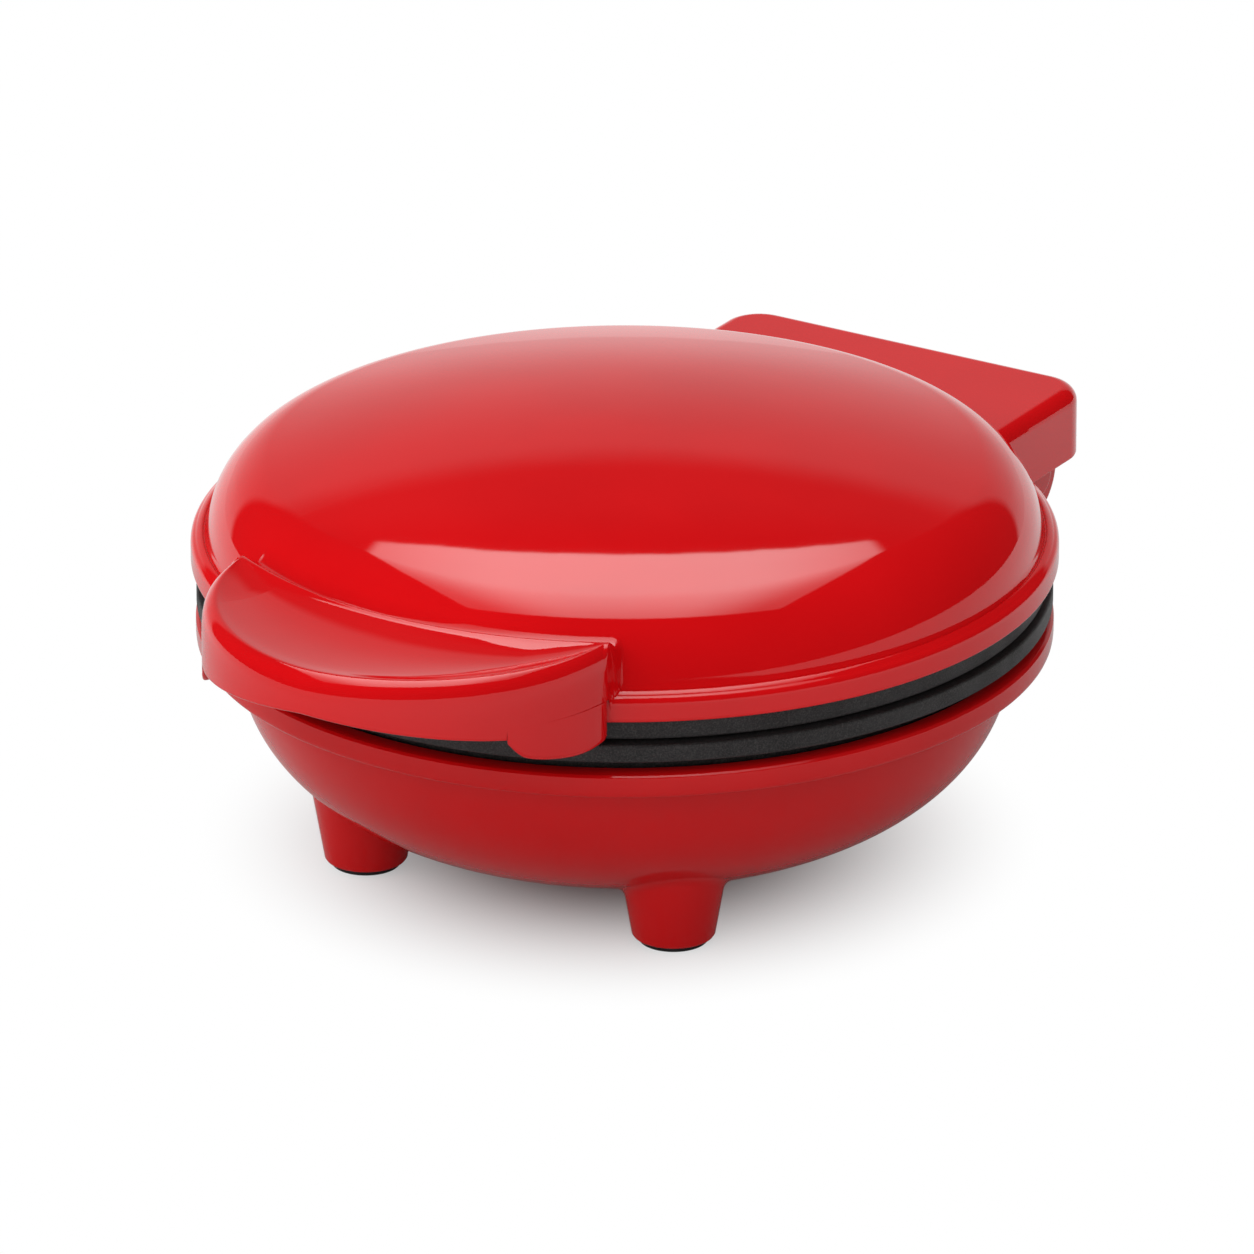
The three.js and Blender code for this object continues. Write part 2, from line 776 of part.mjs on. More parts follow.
// Leads from the terminal block to the lower heater's two ends
for (const [side, way] of leftAndRight) {
  const startX = terminalSide - leadRadius * 2;
  const overRim = lowerPlateBack - leadRadius * 2;
  addPiece(`element_lead_${side}`, lead([
    [way * startX, leadStartY, leadStartZ],
    [way * startX, leadStartY - leadRadius * 3, leadStartZ],
    [way * mix(startX, elementTailX, 1 / 2), shieldRadius + shieldRim, overRim],
    [way * elementTailX, shieldRadius - leadRadius, overRim],
    [way * elementTailX, elementTailY + leadRadius * 4, lowerElementLevel],
    [way * elementTailX, elementTailY + gap, lowerElementLevel],
  ]), leadSleeve);
}

// Supply inlet: a grommet in the hinge block's back wall, turned about a line along Y
function glandSolid() {
  const front = blockRear - wall - gap - glandFlangeThickness;
  const rear = blockRear + gap + glandFlangeThickness;
  const profile = [
    [glandBore, -rear],
    [glandFlange - edgeRound, -rear],
    [glandFlange, -rear + edgeRound],
    [glandFlange, -blockRear - gap],
    [glandBody, -blockRear - gap],
    [glandBody, -front - glandFlangeThickness],
    [glandFlange, -front - glandFlangeThickness],
    [glandFlange, -front],
    [glandBore, -front],
    [glandBore, -rear],
  ];
  return toSolid(turnedGeometry(profile, smallSides).rotateX(quarterTurn).translate(0, 0, glandZ));
}
addPiece('cord_gland', glandSolid(), rubber);

// Lid profile: a crown arc, a shoulder arc and a drafted side, standing on the rim's bead and groove
const sideTopRadius = domeBaseRadius - domeSide * Math.tan(domeDraft);
const sideTop = domeBase + domeSide;
const shoulderEnd = quarterTurn - domeDraft;
const shoulderCentre = sideTopRadius - shoulderRadius * Math.sin(shoulderEnd);
const shoulderLevel = sideTop - shoulderRadius * Math.cos(shoulderEnd);
const crownEdge = shoulderCentre + shoulderRadius * Math.sin(crownAngle);
const crownRadius = crownEdge / Math.sin(crownAngle);
const crownLevel = shoulderLevel + shoulderRadius * Math.cos(crownAngle) - crownRadius * Math.cos(crownAngle);

function arcPoints(centre, level, radius, from, to, steps) {
  return Array.from({ length: steps + 1 }, (_, index) => {
    const angle = mix(from, to, index / steps);
    return [centre + radius * Math.sin(angle), level + radius * Math.cos(angle)];
  });
}

const crownSteps = 6;
const upperShoulderSteps = 3;
const lowerShoulderSteps = 5;
const innerShoulderSteps = 5;
const innerCrownSteps = 3;
const upperDome = [
  ...arcPoints(0, crownLevel, crownRadius, 0, crownAngle, crownSteps),
  ...arcPoints(shoulderCentre, shoulderLevel, shoulderRadius, crownAngle, flareAngle, upperShoulderSteps).slice(1),
];

// The plain side of the lid, below the flare
const bandSteps = 6;
const beadShares = [[1.5, 0.1], [0.8, 0], [0.2, 0.4]];
const plainSide = [
  ...arcPoints(shoulderCentre, shoulderLevel, shoulderRadius, flareAngle, shoulderEnd, lowerShoulderSteps).slice(1),
  [domeBaseRadius, domeBase],
  [domeBaseRadius + grooveDepth, beadTop - grooveDepth],
  ...beadShares.map(([across, down]) => [rimRadius - beadHeight * across, beadTop - beadHeight * down]),
  ...Array.from({ length: bandSteps + 1 }, (_, index) => [rimRadius, mix(bandTop, lidBottom, index / bandSteps)]),
];

// The crescent handle's outline: how far it reaches from the lid's axis in one direction
const handleTipAngle = Math.atan2(handleHalfWidth, handleSetBack);

function outlineReach(turn, inset) {
  const halfWidth = handleHalfWidth - inset;
  const projection = handleProjection - inset;
  let near = rimRadius / 2;
  let far = handleSetBack + handleProjection + handleHalfWidth;
  for (let round = 0; round < searchRounds; round += 1) {
    const reach = (near + far) / 2;
    const x = Math.abs(reach * Math.sin(turn)) / halfWidth;
    const y = Math.max(0, reach * Math.cos(turn) - handleSetBack) / projection;
    if (x ** handleRoundShare + y ** handleRoundShare < 1) {
      near = reach;
    } else {
      far = reach;
    }
  }
  return near;
}

// Where the outline is as wide as a place across, as a direction from the lid's axis
function turnWhereWide(x) {
  let near = 0;
  let far = handleTipAngle;
  for (let round = 0; round < searchRounds; round += 1) {
    const turn = (near + far) / 2;
    if (outlineReach(turn, 0) * Math.sin(turn) < x) {
      near = turn;
    } else {
      far = turn;
    }
  }
  return near;
}

// The handle's wall ends in an arch below: high at the nose, lower towards the tongues, which have a notch
const tongueStartX = handleHalfWidth - tongueWidth;
const tongueStartTurn = turnWhereWide(tongueStartX);
const partingLevel = lidBottom + partingRise;

function wallBottomAt(turn) {
  if (Math.abs(turn) >= tongueStartTurn) {
    return partingLevel;
  }
  const share = Math.abs(outlineReach(turn, 0) * Math.sin(turn)) / tongueStartX;
  return lidBottom + mix(noseRise, archEndRise, share ** archCurveShare);
}

// The handle's side of the lid, in one direction: flare, valley, ridge line, dish, edge, wall and hollow
const cavityTop = ridgeLine - dishedDepth - handleTop;
const hollowEndShare = 0.86;
const hollowFullShare = 0.82;
const handleFullShare = 0.965;
const handleEndShare = 1.06;
const flareShares = [0.4, 0.62];
const dishShares = [[0.2, 0.85], [0.5, 1], [0.85, 0.5]];
const edgeShares = [0.7, 0.3];

function handleSide(turn) {
  const share = Math.abs(turn) / handleTipAngle;
  const reach = outlineReach(turn, 0);
  const hollow = THREE.MathUtils.clamp((hollowEndShare - share) / (hollowEndShare - hollowFullShare), 0, 1);
  const solidInner = mix(reach, rimRadius, 1 / 3);
  const wallInner = hollow > 0 ? mix(solidInner, outlineReach(turn, handleWall), hollow) : solidInner;
  const ridgeStart = ridgeLineRadius + ridgeCrest;
  const dishEnd = Math.max(reach - handleEdgeRound, ridgeStart + edgeRound);
  const dip = Math.min(1, (dishEnd - ridgeStart) / (handleEdgeRound * 3)) * dishedDepth;
  const flareStart = upperDome[upperDome.length - 1];
  const valleyRadius = ridgeLineRadius - ridgeCrest * 4;
  const valley = ridgeLine - valleyDepth;
  const wallBottom = wallBottomAt(turn);
  const ceiling = mix(wallBottom, cavityTop, hollow);
  return [
    [mix(flareStart[0], valleyRadius, flareShares[0]), mix(flareStart[1], valley, flareShares[1])],
    [valleyRadius, valley],
    [ridgeLineRadius - ridgeCrest, ridgeLine - valleyDepth / 3],
    [ridgeLineRadius, ridgeLine],
    [ridgeStart, ridgeLine - Math.min(valleyDepth, dip) / 2],
    ...dishShares.map(([across, down]) => [mix(ridgeStart, dishEnd, across), ridgeLine - dip * down]),
    [dishEnd, ridgeLine],
    [mix(dishEnd, reach, edgeShares[0]), ridgeLine - handleEdgeRound * edgeShares[1]],
    [reach, ridgeLine - handleEdgeRound],
    [reach, wallBottom],
    [wallInner, wallBottom],
    [mix(mix(wallInner, rimRadius, 1 / 2), wallInner, hollow), ceiling],
    [rimRadius, ceiling],
    [rimRadius, bandTop - gap / 2],
    [rimRadius, lidBottom],
  ];
}

// Directions at which the lid's section is set, close together at the handle's ends
const halfStationShares = [0.14, 0.28, 0.42, 0.54, 0.74, hollowFullShare, hollowEndShare, 0.92, handleFullShare];
const endStationShares = [0.3, 0.65, 1];
const plainStations = 34;

function lidStations() {
  const notch = [tongueStartTurn - gap / rimRadius, tongueStartTurn];
  const end = handleTipAngle * handleEndShare;
  const half = [
    ...[...halfStationShares.map((share) => share * handleTipAngle), ...notch].sort((a, b) => a - b),
    ...endStationShares.map((share) => mix(handleFullShare * handleTipAngle, end, share)),
  ];
  const rest = Array.from({ length: plainStations - 1 }, (_, index) => (
    mix(end, fullTurn - end, (index + 1) / plainStations)
  ));
  const back = half.map((turn) => fullTurn - turn).reverse();
  return [0, ...half, ...rest, ...back];
}

function lidSectionAt(turn) {
  const near = turn > halfTurn ? turn - fullTurn : turn;
  const share = Math.abs(near) / handleTipAngle;
  const handled = THREE.MathUtils.smoothstep(handleEndShare - share, 0, handleEndShare - handleFullShare);
  if (handled === 0) {
    return [...upperDome, ...plainSide, [0, lidBottom]];
  }
  const side = handleSide(near).map(([radius, height], index) => [
    mix(plainSide[index][0], radius, handled),
    mix(plainSide[index][1], height, handled),
  ]);
  return [...upperDome, ...side, [0, lidBottom]];
}

// A turned form whose section changes with direction; a turn of zero faces the handle
function lidOuter() {
  const stations = lidStations();
  const rest = lidSectionAt(halfTurn).map(([radius, height]) => new THREE.Vector2(radius, height));
  const geometry = new THREE.LatheGeometry(rest, stations.length);
  const places = geometry.getAttribute('position');
  for (let station = 0; station <= stations.length; station += 1) {
    const turn = stations[station % stations.length];
    lidSectionAt(turn).forEach(([radius, height], index) => {
      const vertex = station * rest.length + index;
      places.setXYZ(vertex, radius * Math.sin(turn), -radius * Math.cos(turn), height);
    });
  }
  return toSolid(geometry);
}

// The hollow under the dome, with a ledge for the upper plate's flange
function lidChamber() {
  const mouth = rimRadius - rimWall;
  const throat = mouth - lidLedgeWidth;
  return turned([
    [0, lidBottom - overrun],
    [mouth, lidBottom - overrun],
    [mouth, lidLedge],
    [throat, lidLedge],
    [Math.min(throat, sideTopRadius - wall), sideTop],
    ...arcPoints(shoulderCentre, shoulderLevel, shoulderRadius - wall, shoulderEnd, crownAngle, innerShoulderSteps)
      .slice(1),
    ...arcPoints(0, crownLevel, crownRadius - wall, crownAngle, 0, innerCrownSteps).slice(1),
  ]);
}

// Hinge box: a rounded outline in plan with a softened top edge, open underneath
function boxOutline(inset, corner) {
  const side = boxHalfWidth - inset;
  const rear = boxRear - inset;
  const shape = new THREE.Shape();
  shape.moveTo(-side, blockFront);
  shape.lineTo(side, blockFront);
  shape.lineTo(side, rear - corner);
  shape.absarc(side - corner, rear - corner, corner, 0, quarterTurn, false);
  shape.absarc(corner - side, rear - corner, corner, quarterTurn, halfTurn, false);
  shape.closePath();
  return shape;
}

function hingeBoxOuter() {
  const tall = boxTop - boxBottom;
  const geometry = new THREE.ExtrudeGeometry(boxOutline(0, boxCorner), {
    depth: tall,
    curveSegments: boxCornerSteps,
    bevelEnabled: true,
    bevelThickness: boxEdgeRound,
    bevelSize: boxEdgeRound,
    bevelOffset: -boxEdgeRound,
    bevelSegments: boxEdgeSteps,
  });
  const solid = toSolid(geometry.translate(0, 0, boxBottom - boxEdgeRound));
  const side = boxHalfWidth + overrun;
  return solid.subtract(block(-side, side, 0, boxRear + overrun, boxBottom - boxDrop, boxBottom));
}

function hingeBoxInner() {
  const hollow = raised(boxOutline(wall, boxInnerCorner), boxBottom - overrun, boxTop - wall);
  return hollow.subtract(turned(drum(rimRadius, boxBottom - overrun * 2, boxTop)));
}

const bracketBottom = pinZ + barrelRadius + swingClearance;
const bracketTop = bracketBottom + bracketThickness;
const bracketScrewY = rimRadius + bracketFront + screwHeadRadius / 2;

function downwardBoss(x, y, bottom, top) {
  return turnedAt(drum(bossRadius, bottom, top), x, y);
}

function bossHole(x, y, bottom, top) {
  return turnedAt(drum(screwRadius + gap, bottom - overrun, top), x, y);
}

// Bosses in the lid: two for the bracket under the box's top, two for the handle's lower cover
const coverBottom = lidBottom + noseRise + coverRecess;
const coverTop = coverBottom + coverThickness;
const handleScrewY = handleScrewInset - handleSetBack - handleProjection;
const bracketHoleTop = boxTop - wall / 2;
const handleHoleTop = cavityTop + handleTop / 3;

const lidBosses = leftAndRight.flatMap(([, way]) => [
  downwardBoss(way * bracketScrewX, bracketScrewY, bracketTop + gap, boxTop - wall / 2),
  downwardBoss(way * handleScrewX, handleScrewY, coverTop + gap, cavityTop + handleTop / 2),
]);
const lidBossHoles = leftAndRight.flatMap(([, way]) => [
  bossHole(way * bracketScrewX, bracketScrewY, bracketTop, bracketHoleTop),
  bossHole(way * handleScrewX, handleScrewY, coverTop, handleHoleTop),
]);

const lidShell = cut(joined([
  cut(joined([lidOuter(), hingeBoxOuter()]), [
    lidChamber(),
    hingeBoxInner(),
    turned(drum(rimRadius, boxBottom - overrun, lidBottom)),
  ]),
  ...lidBosses,
]), lidBossHoles);
addPiece('lid_shell', lidShell, lidRed);

// The handle's lower cover: a recessed crescent with a tongue at each end, flush with the handle's wall
function crescent(inset, backRadius, from, to, steps) {
  const shape = new THREE.Shape();
  const points = [];
  for (let index = 0; index <= steps; index += 1) {
    const turn = mix(from, to, index / steps);
    const reach = Math.max(outlineReach(turn, inset), backRadius + gap);
    points.push([reach * Math.sin(turn), -reach * Math.cos(turn)]);
  }
  for (let index = 0; index <= steps; index += 1) {
    const turn = mix(to, from, index / steps);
    points.push([backRadius * Math.sin(turn), -backRadius * Math.cos(turn)]);
  }
  points.forEach((point, index) => (index === 0 ? shape.moveTo(...point) : shape.lineTo(...point)));
  shape.closePath();
  return shape;
}

const coverBack = rimRadius + gap;
const coverInset = handleWall + coverClearance;
const coverEndShare = 0.8;
const coverTurn = handleTipAngle * coverEndShare;
const coverSteps = 24;
const tongueEndTurn = handleTipAngle * handleFullShare;
const tongueSteps = 12;
const stemSteps = 8;
const tongueTop = partingLevel - gap;
const tongueBottom = lidBottom - tongueDrop;
const tongueOutlineShares = [[0, 1], [0, 0.65], [0.17, 0.33], [0.31, 0.22], [0.67, 0.06], [0.9, 0], [1, 0.1], [1, 1]];

// One tongue, seen from the front as an outline that starts with a step and ends in a round corner
function tongue(way) {
  const turns = way < 0 ? [-tongueEndTurn, -tongueStartTurn] : [tongueStartTurn, tongueEndTurn];
  const body = raised(crescent(0, coverBack, ...turns, tongueSteps), tongueBottom, tongueTop);
  const innerX = coverBack * Math.sin(tongueStartTurn);
  const outline = new THREE.Shape([
    new THREE.Vector2(innerX - overrun, tongueTop + overrun),
    new THREE.Vector2(innerX - overrun, mix(tongueBottom, tongueTop, tongueOutlineShares[1][1])),
    ...tongueOutlineShares.slice(1).map(([across, rise]) => (
      new THREE.Vector2(tongueStartX + tongueWidth * across, mix(tongueBottom, tongueTop, rise))
    )),
    new THREE.Vector2(tongueStartX + tongueWidth + overrun, tongueTop + overrun),
  ]);
  const deep = handleSetBack + handleProjection + overrun;
  const front = new THREE.ExtrudeGeometry(outline, { depth: deep, bevelEnabled: false }).rotateX(quarterTurn);
  return body.intersect(toSolid(way < 0 ? front.scale(-1, 1, 1) : front));
}

function tongueStem(way) {
  const turns = way < 0 ? [-coverTurn, -tongueStartTurn] : [tongueStartTurn, coverTurn];
  return raised(crescent(coverInset, coverBack, ...turns, stemSteps), tongueTop - overrun, coverTop);
}

const handleScrewHoles = leftAndRight.map(([, way]) => (
  bossHole(way * handleScrewX, handleScrewY, tongueBottom, coverTop + overrun)
));
const lowerCover = cut(joined([
  raised(crescent(coverInset, coverBack, -coverTurn, coverTurn, coverSteps), coverBottom, coverTop),
  ...leftAndRight.flatMap(([, way]) => [tongue(way), tongueStem(way)]),
]), handleScrewHoles);
addPiece('handle_lower_cover', lowerCover, lidRed);

// Hinge bracket: a plate under the box's top with two lugs round the pin
function bracketSolid() {
  const rear = pinY + lugRadius;
  const front = bracketScrewY - screwHeadRadius;
  const top = block(-bracketHalfWidth, bracketHalfWidth, front, rear, bracketBottom, bracketTop);
  const lugs = leftAndRight.flatMap(([, way]) => {
    const ends = [way * lugInset, way * (lugInset + lugWidth)].sort((a, b) => a - b);
    return [
      turnedOnPin(drum(lugRadius, ...ends), mediumSides),
      block(...ends, pinY - lugRadius, pinY + lugRadius, pinZ, bracketBottom + bracketThickness / 2),
    ];
  });
  const holes = leftAndRight.map(([, way]) => (
    bossHole(way * bracketScrewX, bracketScrewY, bracketBottom, bracketTop + overrun)
  ));
  return cut(joined([top, ...lugs]), [pinBore, ...holes]);
}
addPiece('hinge_bracket', bracketSolid(), zincSteel);

for (const [side, way] of leftAndRight) {
  const bracketReach = bracketHoleTop - gap - (bracketBottom - gap);
  const bracketScrew = screw(way * bracketScrewX, bracketScrewY, bracketBottom - gap, bracketReach);
  addPiece(`hinge_bracket_screw_${side}`, bracketScrew, zincSteel);
  const handleReach = handleHoleTop - gap - (coverBottom - gap);
  const handleScrew = screw(way * handleScrewX, handleScrewY, coverBottom - gap, handleReach);
  addPiece(`handle_screw_${side}`, handleScrew, zincSteel);
}

// Hinge pin through the block's barrel and the bracket's lugs, with a round cap over each end
const pinEnd = blockHalfWidth - pinInset;
addPiece('hinge_pin', turnedOnPin([
  [0, -pinEnd],
  [pinRadius - edgeRound, -pinEnd],
  [pinRadius, -pinEnd + edgeRound],
  [pinRadius, pinEnd - edgeRound],
  [pinRadius - edgeRound, pinEnd],
  [0, pinEnd],
]), steel);

for (const [side, way] of leftAndRight) {
  const near = way * (blockHalfWidth + gap);
  const far = near + way * capThickness;
  const capRadius = pinRadius + gap + capRim;
  addPiece(`pin_cap_${side}`, turnedOnPin([
    [0, near],
    [capRadius, near],
    [capRadius, far - way * capRound],
    [capRadius - capRound, far],
    [0, far],
  ]), baseRed);
}

// The origin lies on the ground, in the middle of the whole cooker's length
cooker.position.y = (handleSetBack + handleProjection - boxRear) / 2;

export default cooker;
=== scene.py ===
# Mini sandwich waffle maker: a domed lid with a crescent handle and a hinge box, over a bowl on four feet
import json
import math

import bmesh
import bpy
from mathutils import Matrix, Vector


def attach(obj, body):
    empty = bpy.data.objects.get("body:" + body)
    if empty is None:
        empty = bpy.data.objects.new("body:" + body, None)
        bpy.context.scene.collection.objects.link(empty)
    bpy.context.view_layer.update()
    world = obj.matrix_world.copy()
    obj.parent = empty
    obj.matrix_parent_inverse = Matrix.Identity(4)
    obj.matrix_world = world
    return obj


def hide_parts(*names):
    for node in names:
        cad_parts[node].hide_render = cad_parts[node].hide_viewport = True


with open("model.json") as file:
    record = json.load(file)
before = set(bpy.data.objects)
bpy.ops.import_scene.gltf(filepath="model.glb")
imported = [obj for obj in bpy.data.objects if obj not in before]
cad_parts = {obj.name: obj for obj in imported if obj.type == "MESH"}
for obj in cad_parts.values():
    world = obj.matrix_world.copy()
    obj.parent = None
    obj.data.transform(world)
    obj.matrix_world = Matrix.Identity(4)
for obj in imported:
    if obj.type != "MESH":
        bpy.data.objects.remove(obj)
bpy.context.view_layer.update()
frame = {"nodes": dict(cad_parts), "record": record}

# Lengths are in millimetres from the round body's axis until a piece is finished. The handle is towards -Y
# and the hinge towards +Y. The axis stands this far behind the middle of the whole cooker.
MIDDLE_SHIFT = 1.85
GAP = 0.3
WALL = 2.0
# Points closer than this are one, and a rounding this wide takes half of a short side.
SAME_PLACE = 1e-4
WIDE = 5.0
# Edges that turn by more than this look sharp.
CREASE = math.radians(38)
BOTH_WAYS = (-1, 1)
# A cut runs this far past the face where it ends.
OVERRUN = 1.0
# Steps once round: for the rings that show most, and for the large forms inside them
FINE_STEPS = 288
LARGE_STEPS = 144

# Base: bowl, rim and feet
RIM_RADIUS = 70.0
BASE_RIM_RADIUS = 69.3
BOWL_TOP_RADIUS = 62.9
BOWL_FLOOR_RADIUS = 26.6
BOWL_UNDERSIDE = 5.6
BOWL_DEPTH = 29.8
BOWL_TOP = BOWL_UNDERSIDE + BOWL_DEPTH
BOWL_SPREAD_CURVE = 1.06
BOWL_RISE_CURVE = 0.874
BOWL_STEPS = 40
LIP_TOP = BOWL_TOP + 4.2
LIP_SLOPE = 1.7
LIP_FLAT = 1.6
LIP_INNER = BASE_RIM_RADIUS - LIP_SLOPE - LIP_FLAT
LIP_CHAMFER = 0.35
# The rim's underside and the lip's outer edge: how far in from the rim, and how far up from the bowl's top or
# down from the lip's top. The middle stretch of the lip's edge is a flat chamfer that catches the light.
RIM_UNDERSIDE = [(0.8, 0.05), (0.2, 0.3), (0, 1)]
LIP_EDGE = [(0, 0.6), (0.03, 0.53), (0.41, 0.245), (0.48, 0.21), (LIP_SLOPE, 0)]
LEDGE_TOP = BOWL_TOP + 1.5
FOOT_X = 29.1
FOOT_Y = 32.6
SOLE_RADIUS = 6.65
SOLE_LEVEL = 0.9
FOOT_TAPER = math.tan(math.radians(9.8))
FOOT_FILLET = 1.4
# A foot runs this far into the bowl's wall past its fillet, and its sole has this chamfer and this soft edge.
FOOT_ROOT = 1.2
SOLE_CHAMFER = 0.15
SOLE_EDGE = 0.5
PAD_RADIUS = 5.65
PAD_RECESS = 2.6

# Plates
LOWER_FACE = 44.7
UPPER_FACE = 45.25
LOWER_FLANGE = 69.15
UPPER_FLANGE = 68.3
DISH_RADIUS = 51.4
DISH_DEPTH = 6.5
DISH_DRAFT = 1.6
PLATE_THICKNESS = 2.6
FLANGE_BACK = 3.3
SKIRT_WIDTH = 3.0
RIDGE_HEIGHT = 4.2
RIDGE_TOP = 2.6
RIDGE_FOOT = 4.0
RIDGE_COUNT = 6
RIDGE_FLARE = 1.4
RIDGE_INSET = 0.3
RIDGE_ROOT = 0.8

# Lid
LID_BOTTOM = 48.8
LID_LEDGE = 51.1
BAND_TOP = 52.6
BEAD_HEIGHT = 1.05
BEAD_TOP = BAND_TOP + BEAD_HEIGHT
GROOVE_DEPTH = 0.4
DOME_BASE = BEAD_TOP + GROOVE_DEPTH
DOME_RADIUS = 67.4
DOME_SIDE = 1.7
DOME_DRAFT = math.radians(11.1)
SHOULDER_RADIUS = 12.9
CROWN_ANGLE = math.radians(13.7)
FLARE_ANGLE = math.radians(42)
SIDE_TOP = DOME_BASE + DOME_SIDE
SIDE_TOP_RADIUS = DOME_RADIUS - DOME_SIDE * math.tan(DOME_DRAFT)
SHOULDER_END = math.pi / 2 - DOME_DRAFT
SHOULDER_CENTRE = SIDE_TOP_RADIUS - SHOULDER_RADIUS * math.sin(SHOULDER_END)
SHOULDER_LEVEL = SIDE_TOP - SHOULDER_RADIUS * math.cos(SHOULDER_END)
CROWN_EDGE = SHOULDER_CENTRE + SHOULDER_RADIUS * math.sin(CROWN_ANGLE)
CROWN_RADIUS = CROWN_EDGE / math.sin(CROWN_ANGLE)
CROWN_LEVEL = SHOULDER_LEVEL + (SHOULDER_RADIUS - CROWN_RADIUS) * math.cos(CROWN_ANGLE)

# Crescent handle
HANDLE_HALF_WIDTH = 35.35
HANDLE_SET_BACK = 61.6
HANDLE_PROJECTION = 35.4
HANDLE_ROUND = 1.85
RIDGE_LINE_RADIUS = 69.3
RIDGE_LINE = LID_BOTTOM + 13.5
RIDGE_CREST = 0.65
VALLEY_DEPTH = 2.2
VALLEY_RADIUS = 66.5
VALLEY_ANGLE = math.radians(53)
DISHED_DEPTH = 1.25
DISH_WIDTH = 13.0
LEAST_DISH = 0.4
LEAST_EDGE = 1.0
HANDLE_EDGE = 2.7
HANDLE_WALL = 1.8
# The hollow in the handle ends at this share of the way to the handle's ends, and closes over the last part.
HOLLOW_END = 0.86
HOLLOW_EASE = 0.04
CAVITY_TOP = 59.0
NOSE_RISE = 6.9
ARCH_END_RISE = 2.9
ARCH_CURVE = 1.3
PARTING_LEVEL = LID_BOTTOM + 4.7
TONGUE_BOTTOM = LID_BOTTOM - 2.8
TONGUE_WIDTH = 7.0
TONGUE_START_X = HANDLE_HALF_WIDTH - TONGUE_WIDTH
COVER_BOTTOM = 56.1
COVER_TOP = 57.7
COVER_INSET = HANDLE_WALL + 0.6
COVER_SHARE = 0.8
STEM_DEPTH = 1.3
HANDLE_SCREW_X = 17.0
HANDLE_SCREW_Y = -82.4
# The direction of the handle's ends, and how the handle fades out there, in shares of that direction.
# The wall is whole up to HANDLE_FULL and gone at WALL_END, the ridge line up to RIDGE_FULL and at RIDGE_END.
HANDLE_TIP = math.atan2(HANDLE_HALF_WIDTH, HANDLE_SET_BACK)
HANDLE_FULL = 0.98
WALL_END = 1.0
RIDGE_FULL = 0.985
RIDGE_END = 1.05

# Hinge box, block and pin
BOX_HALF_WIDTH = 33.5
BOX_REAR = 93.3
BOX_TOP = 54.4
BOX_BOTTOM = 42.5
BOX_CORNER = 7.0
BOX_EDGE = 2.6
BOX_LOWER_EDGE = 0.5
BOX_LAP = 0.8
PIN_Y = 82.6
PIN_Z = 40.1
PIN_RADIUS = 1.8
BARREL_RADIUS = 8.2
BLOCK_HALF_WIDTH = 28.4
BLOCK_REAR = 76.0
BLOCK_FLOOR = 17.1
BLOCK_FRONT = 50.0
LUG_INSET = 16.0
LUG_WIDTH = 4.0
LUG_ROOM = 0.5
CAP_RADIUS = 3.9
CAP_THICKNESS = 1.2
GLAND_Z = 24.4
GLAND_BODY = 3.9
GLAND_BORE = 2.6
GLAND_RIM = 5.0
GLAND_FLANGE = 1.5
BRACKET_SCREW_X = 24.0
BRACKET_SCREW_Y = 74.2
BRACKET_TOP = 50.6

# Screws, and the posts and bosses that take them
SCREW_RING = 22.49
SCREW_ANGLES = [math.pi / 2 + index * math.tau / 3 for index in range(3)]
SCREW_PLACES = [(SCREW_RING * math.cos(angle), SCREW_RING * math.sin(angle)) for angle in SCREW_ANGLES]
SCREW_BORE = 1.5
SCREW_WELL = 3.0
SCREW_SEAT = 10.8
BOSS_RADIUS = 3.2
POST_FOOT = 6.6
POST_SHOULDER = 27.7
POST_TOP = 31.9
POST_RADIUS = 4.4
POST_TIP_RADIUS = 2.8


def mix(start, end, share):
    return start + (end - start) * share


def smooth(share):
    share = max(0.0, min(1.0, share))
    return share * share * (3 - 2 * share)


def evenly(start, end, steps):
    """Values from start to end in equal steps, both ends among them."""
    return [mix(start, end, step / steps) for step in range(steps + 1)]


def all_round(steps):
    """Directions once round an upright line."""
    return [index / steps * math.tau for index in range(steps)]


def last_where(holds, near, far):
    """The furthest value from near towards far for which something holds, found by halving."""
    for _ in range(40):
        middle = (near + far) / 2
        if holds(middle):
            near = middle
        else:
            far = middle
    return near


def arc(centre, level, radius, start, end, steps):
    """Points on a circle round [centre, level]; a turn of zero is straight above it."""
    turns = evenly(start, end, steps)
    return [(centre + radius * math.sin(turn), level + radius * math.cos(turn)) for turn in turns]


def softened(points, rounds, steps=3, closed=False):
    """A line whose corners are rounded, each within its own length or half of the side beside it."""
    points = [Vector(point) for point in points]
    count = len(points)
    line = [] if closed else [points[0]]
    corners = range(count) if closed else range(1, count - 1)
    for corner, limit in zip(corners, rounds):
        here = points[corner]
        back = points[corner - 1] - here
        onward = points[(corner + 1) % count] - here
        start = here + back * min(0.5, limit / max(back.length, 1e-6))
        end = here + onward * min(0.5, limit / max(onward.length, 1e-6))
        for step in range(steps + 1):
            share = step / steps
            line.append(start.lerp(here, share).lerp(here.lerp(end, share), share))
    return line if closed else [*line, points[-1]]


def boundary_of(mesh):
    return [edge for edge in mesh.edges if edge.is_boundary]


def corners_of(geometry):
    return [item for item in geometry if isinstance(item, bmesh.types.BMVert)]


def cleaned(mesh):
    bmesh.ops.remove_doubles(mesh, verts=mesh.verts, dist=SAME_PLACE)
    bmesh.ops.dissolve_degenerate(mesh, dist=SAME_PLACE, edges=mesh.edges)
    bmesh.ops.recalc_face_normals(mesh, faces=mesh.faces)
    return mesh


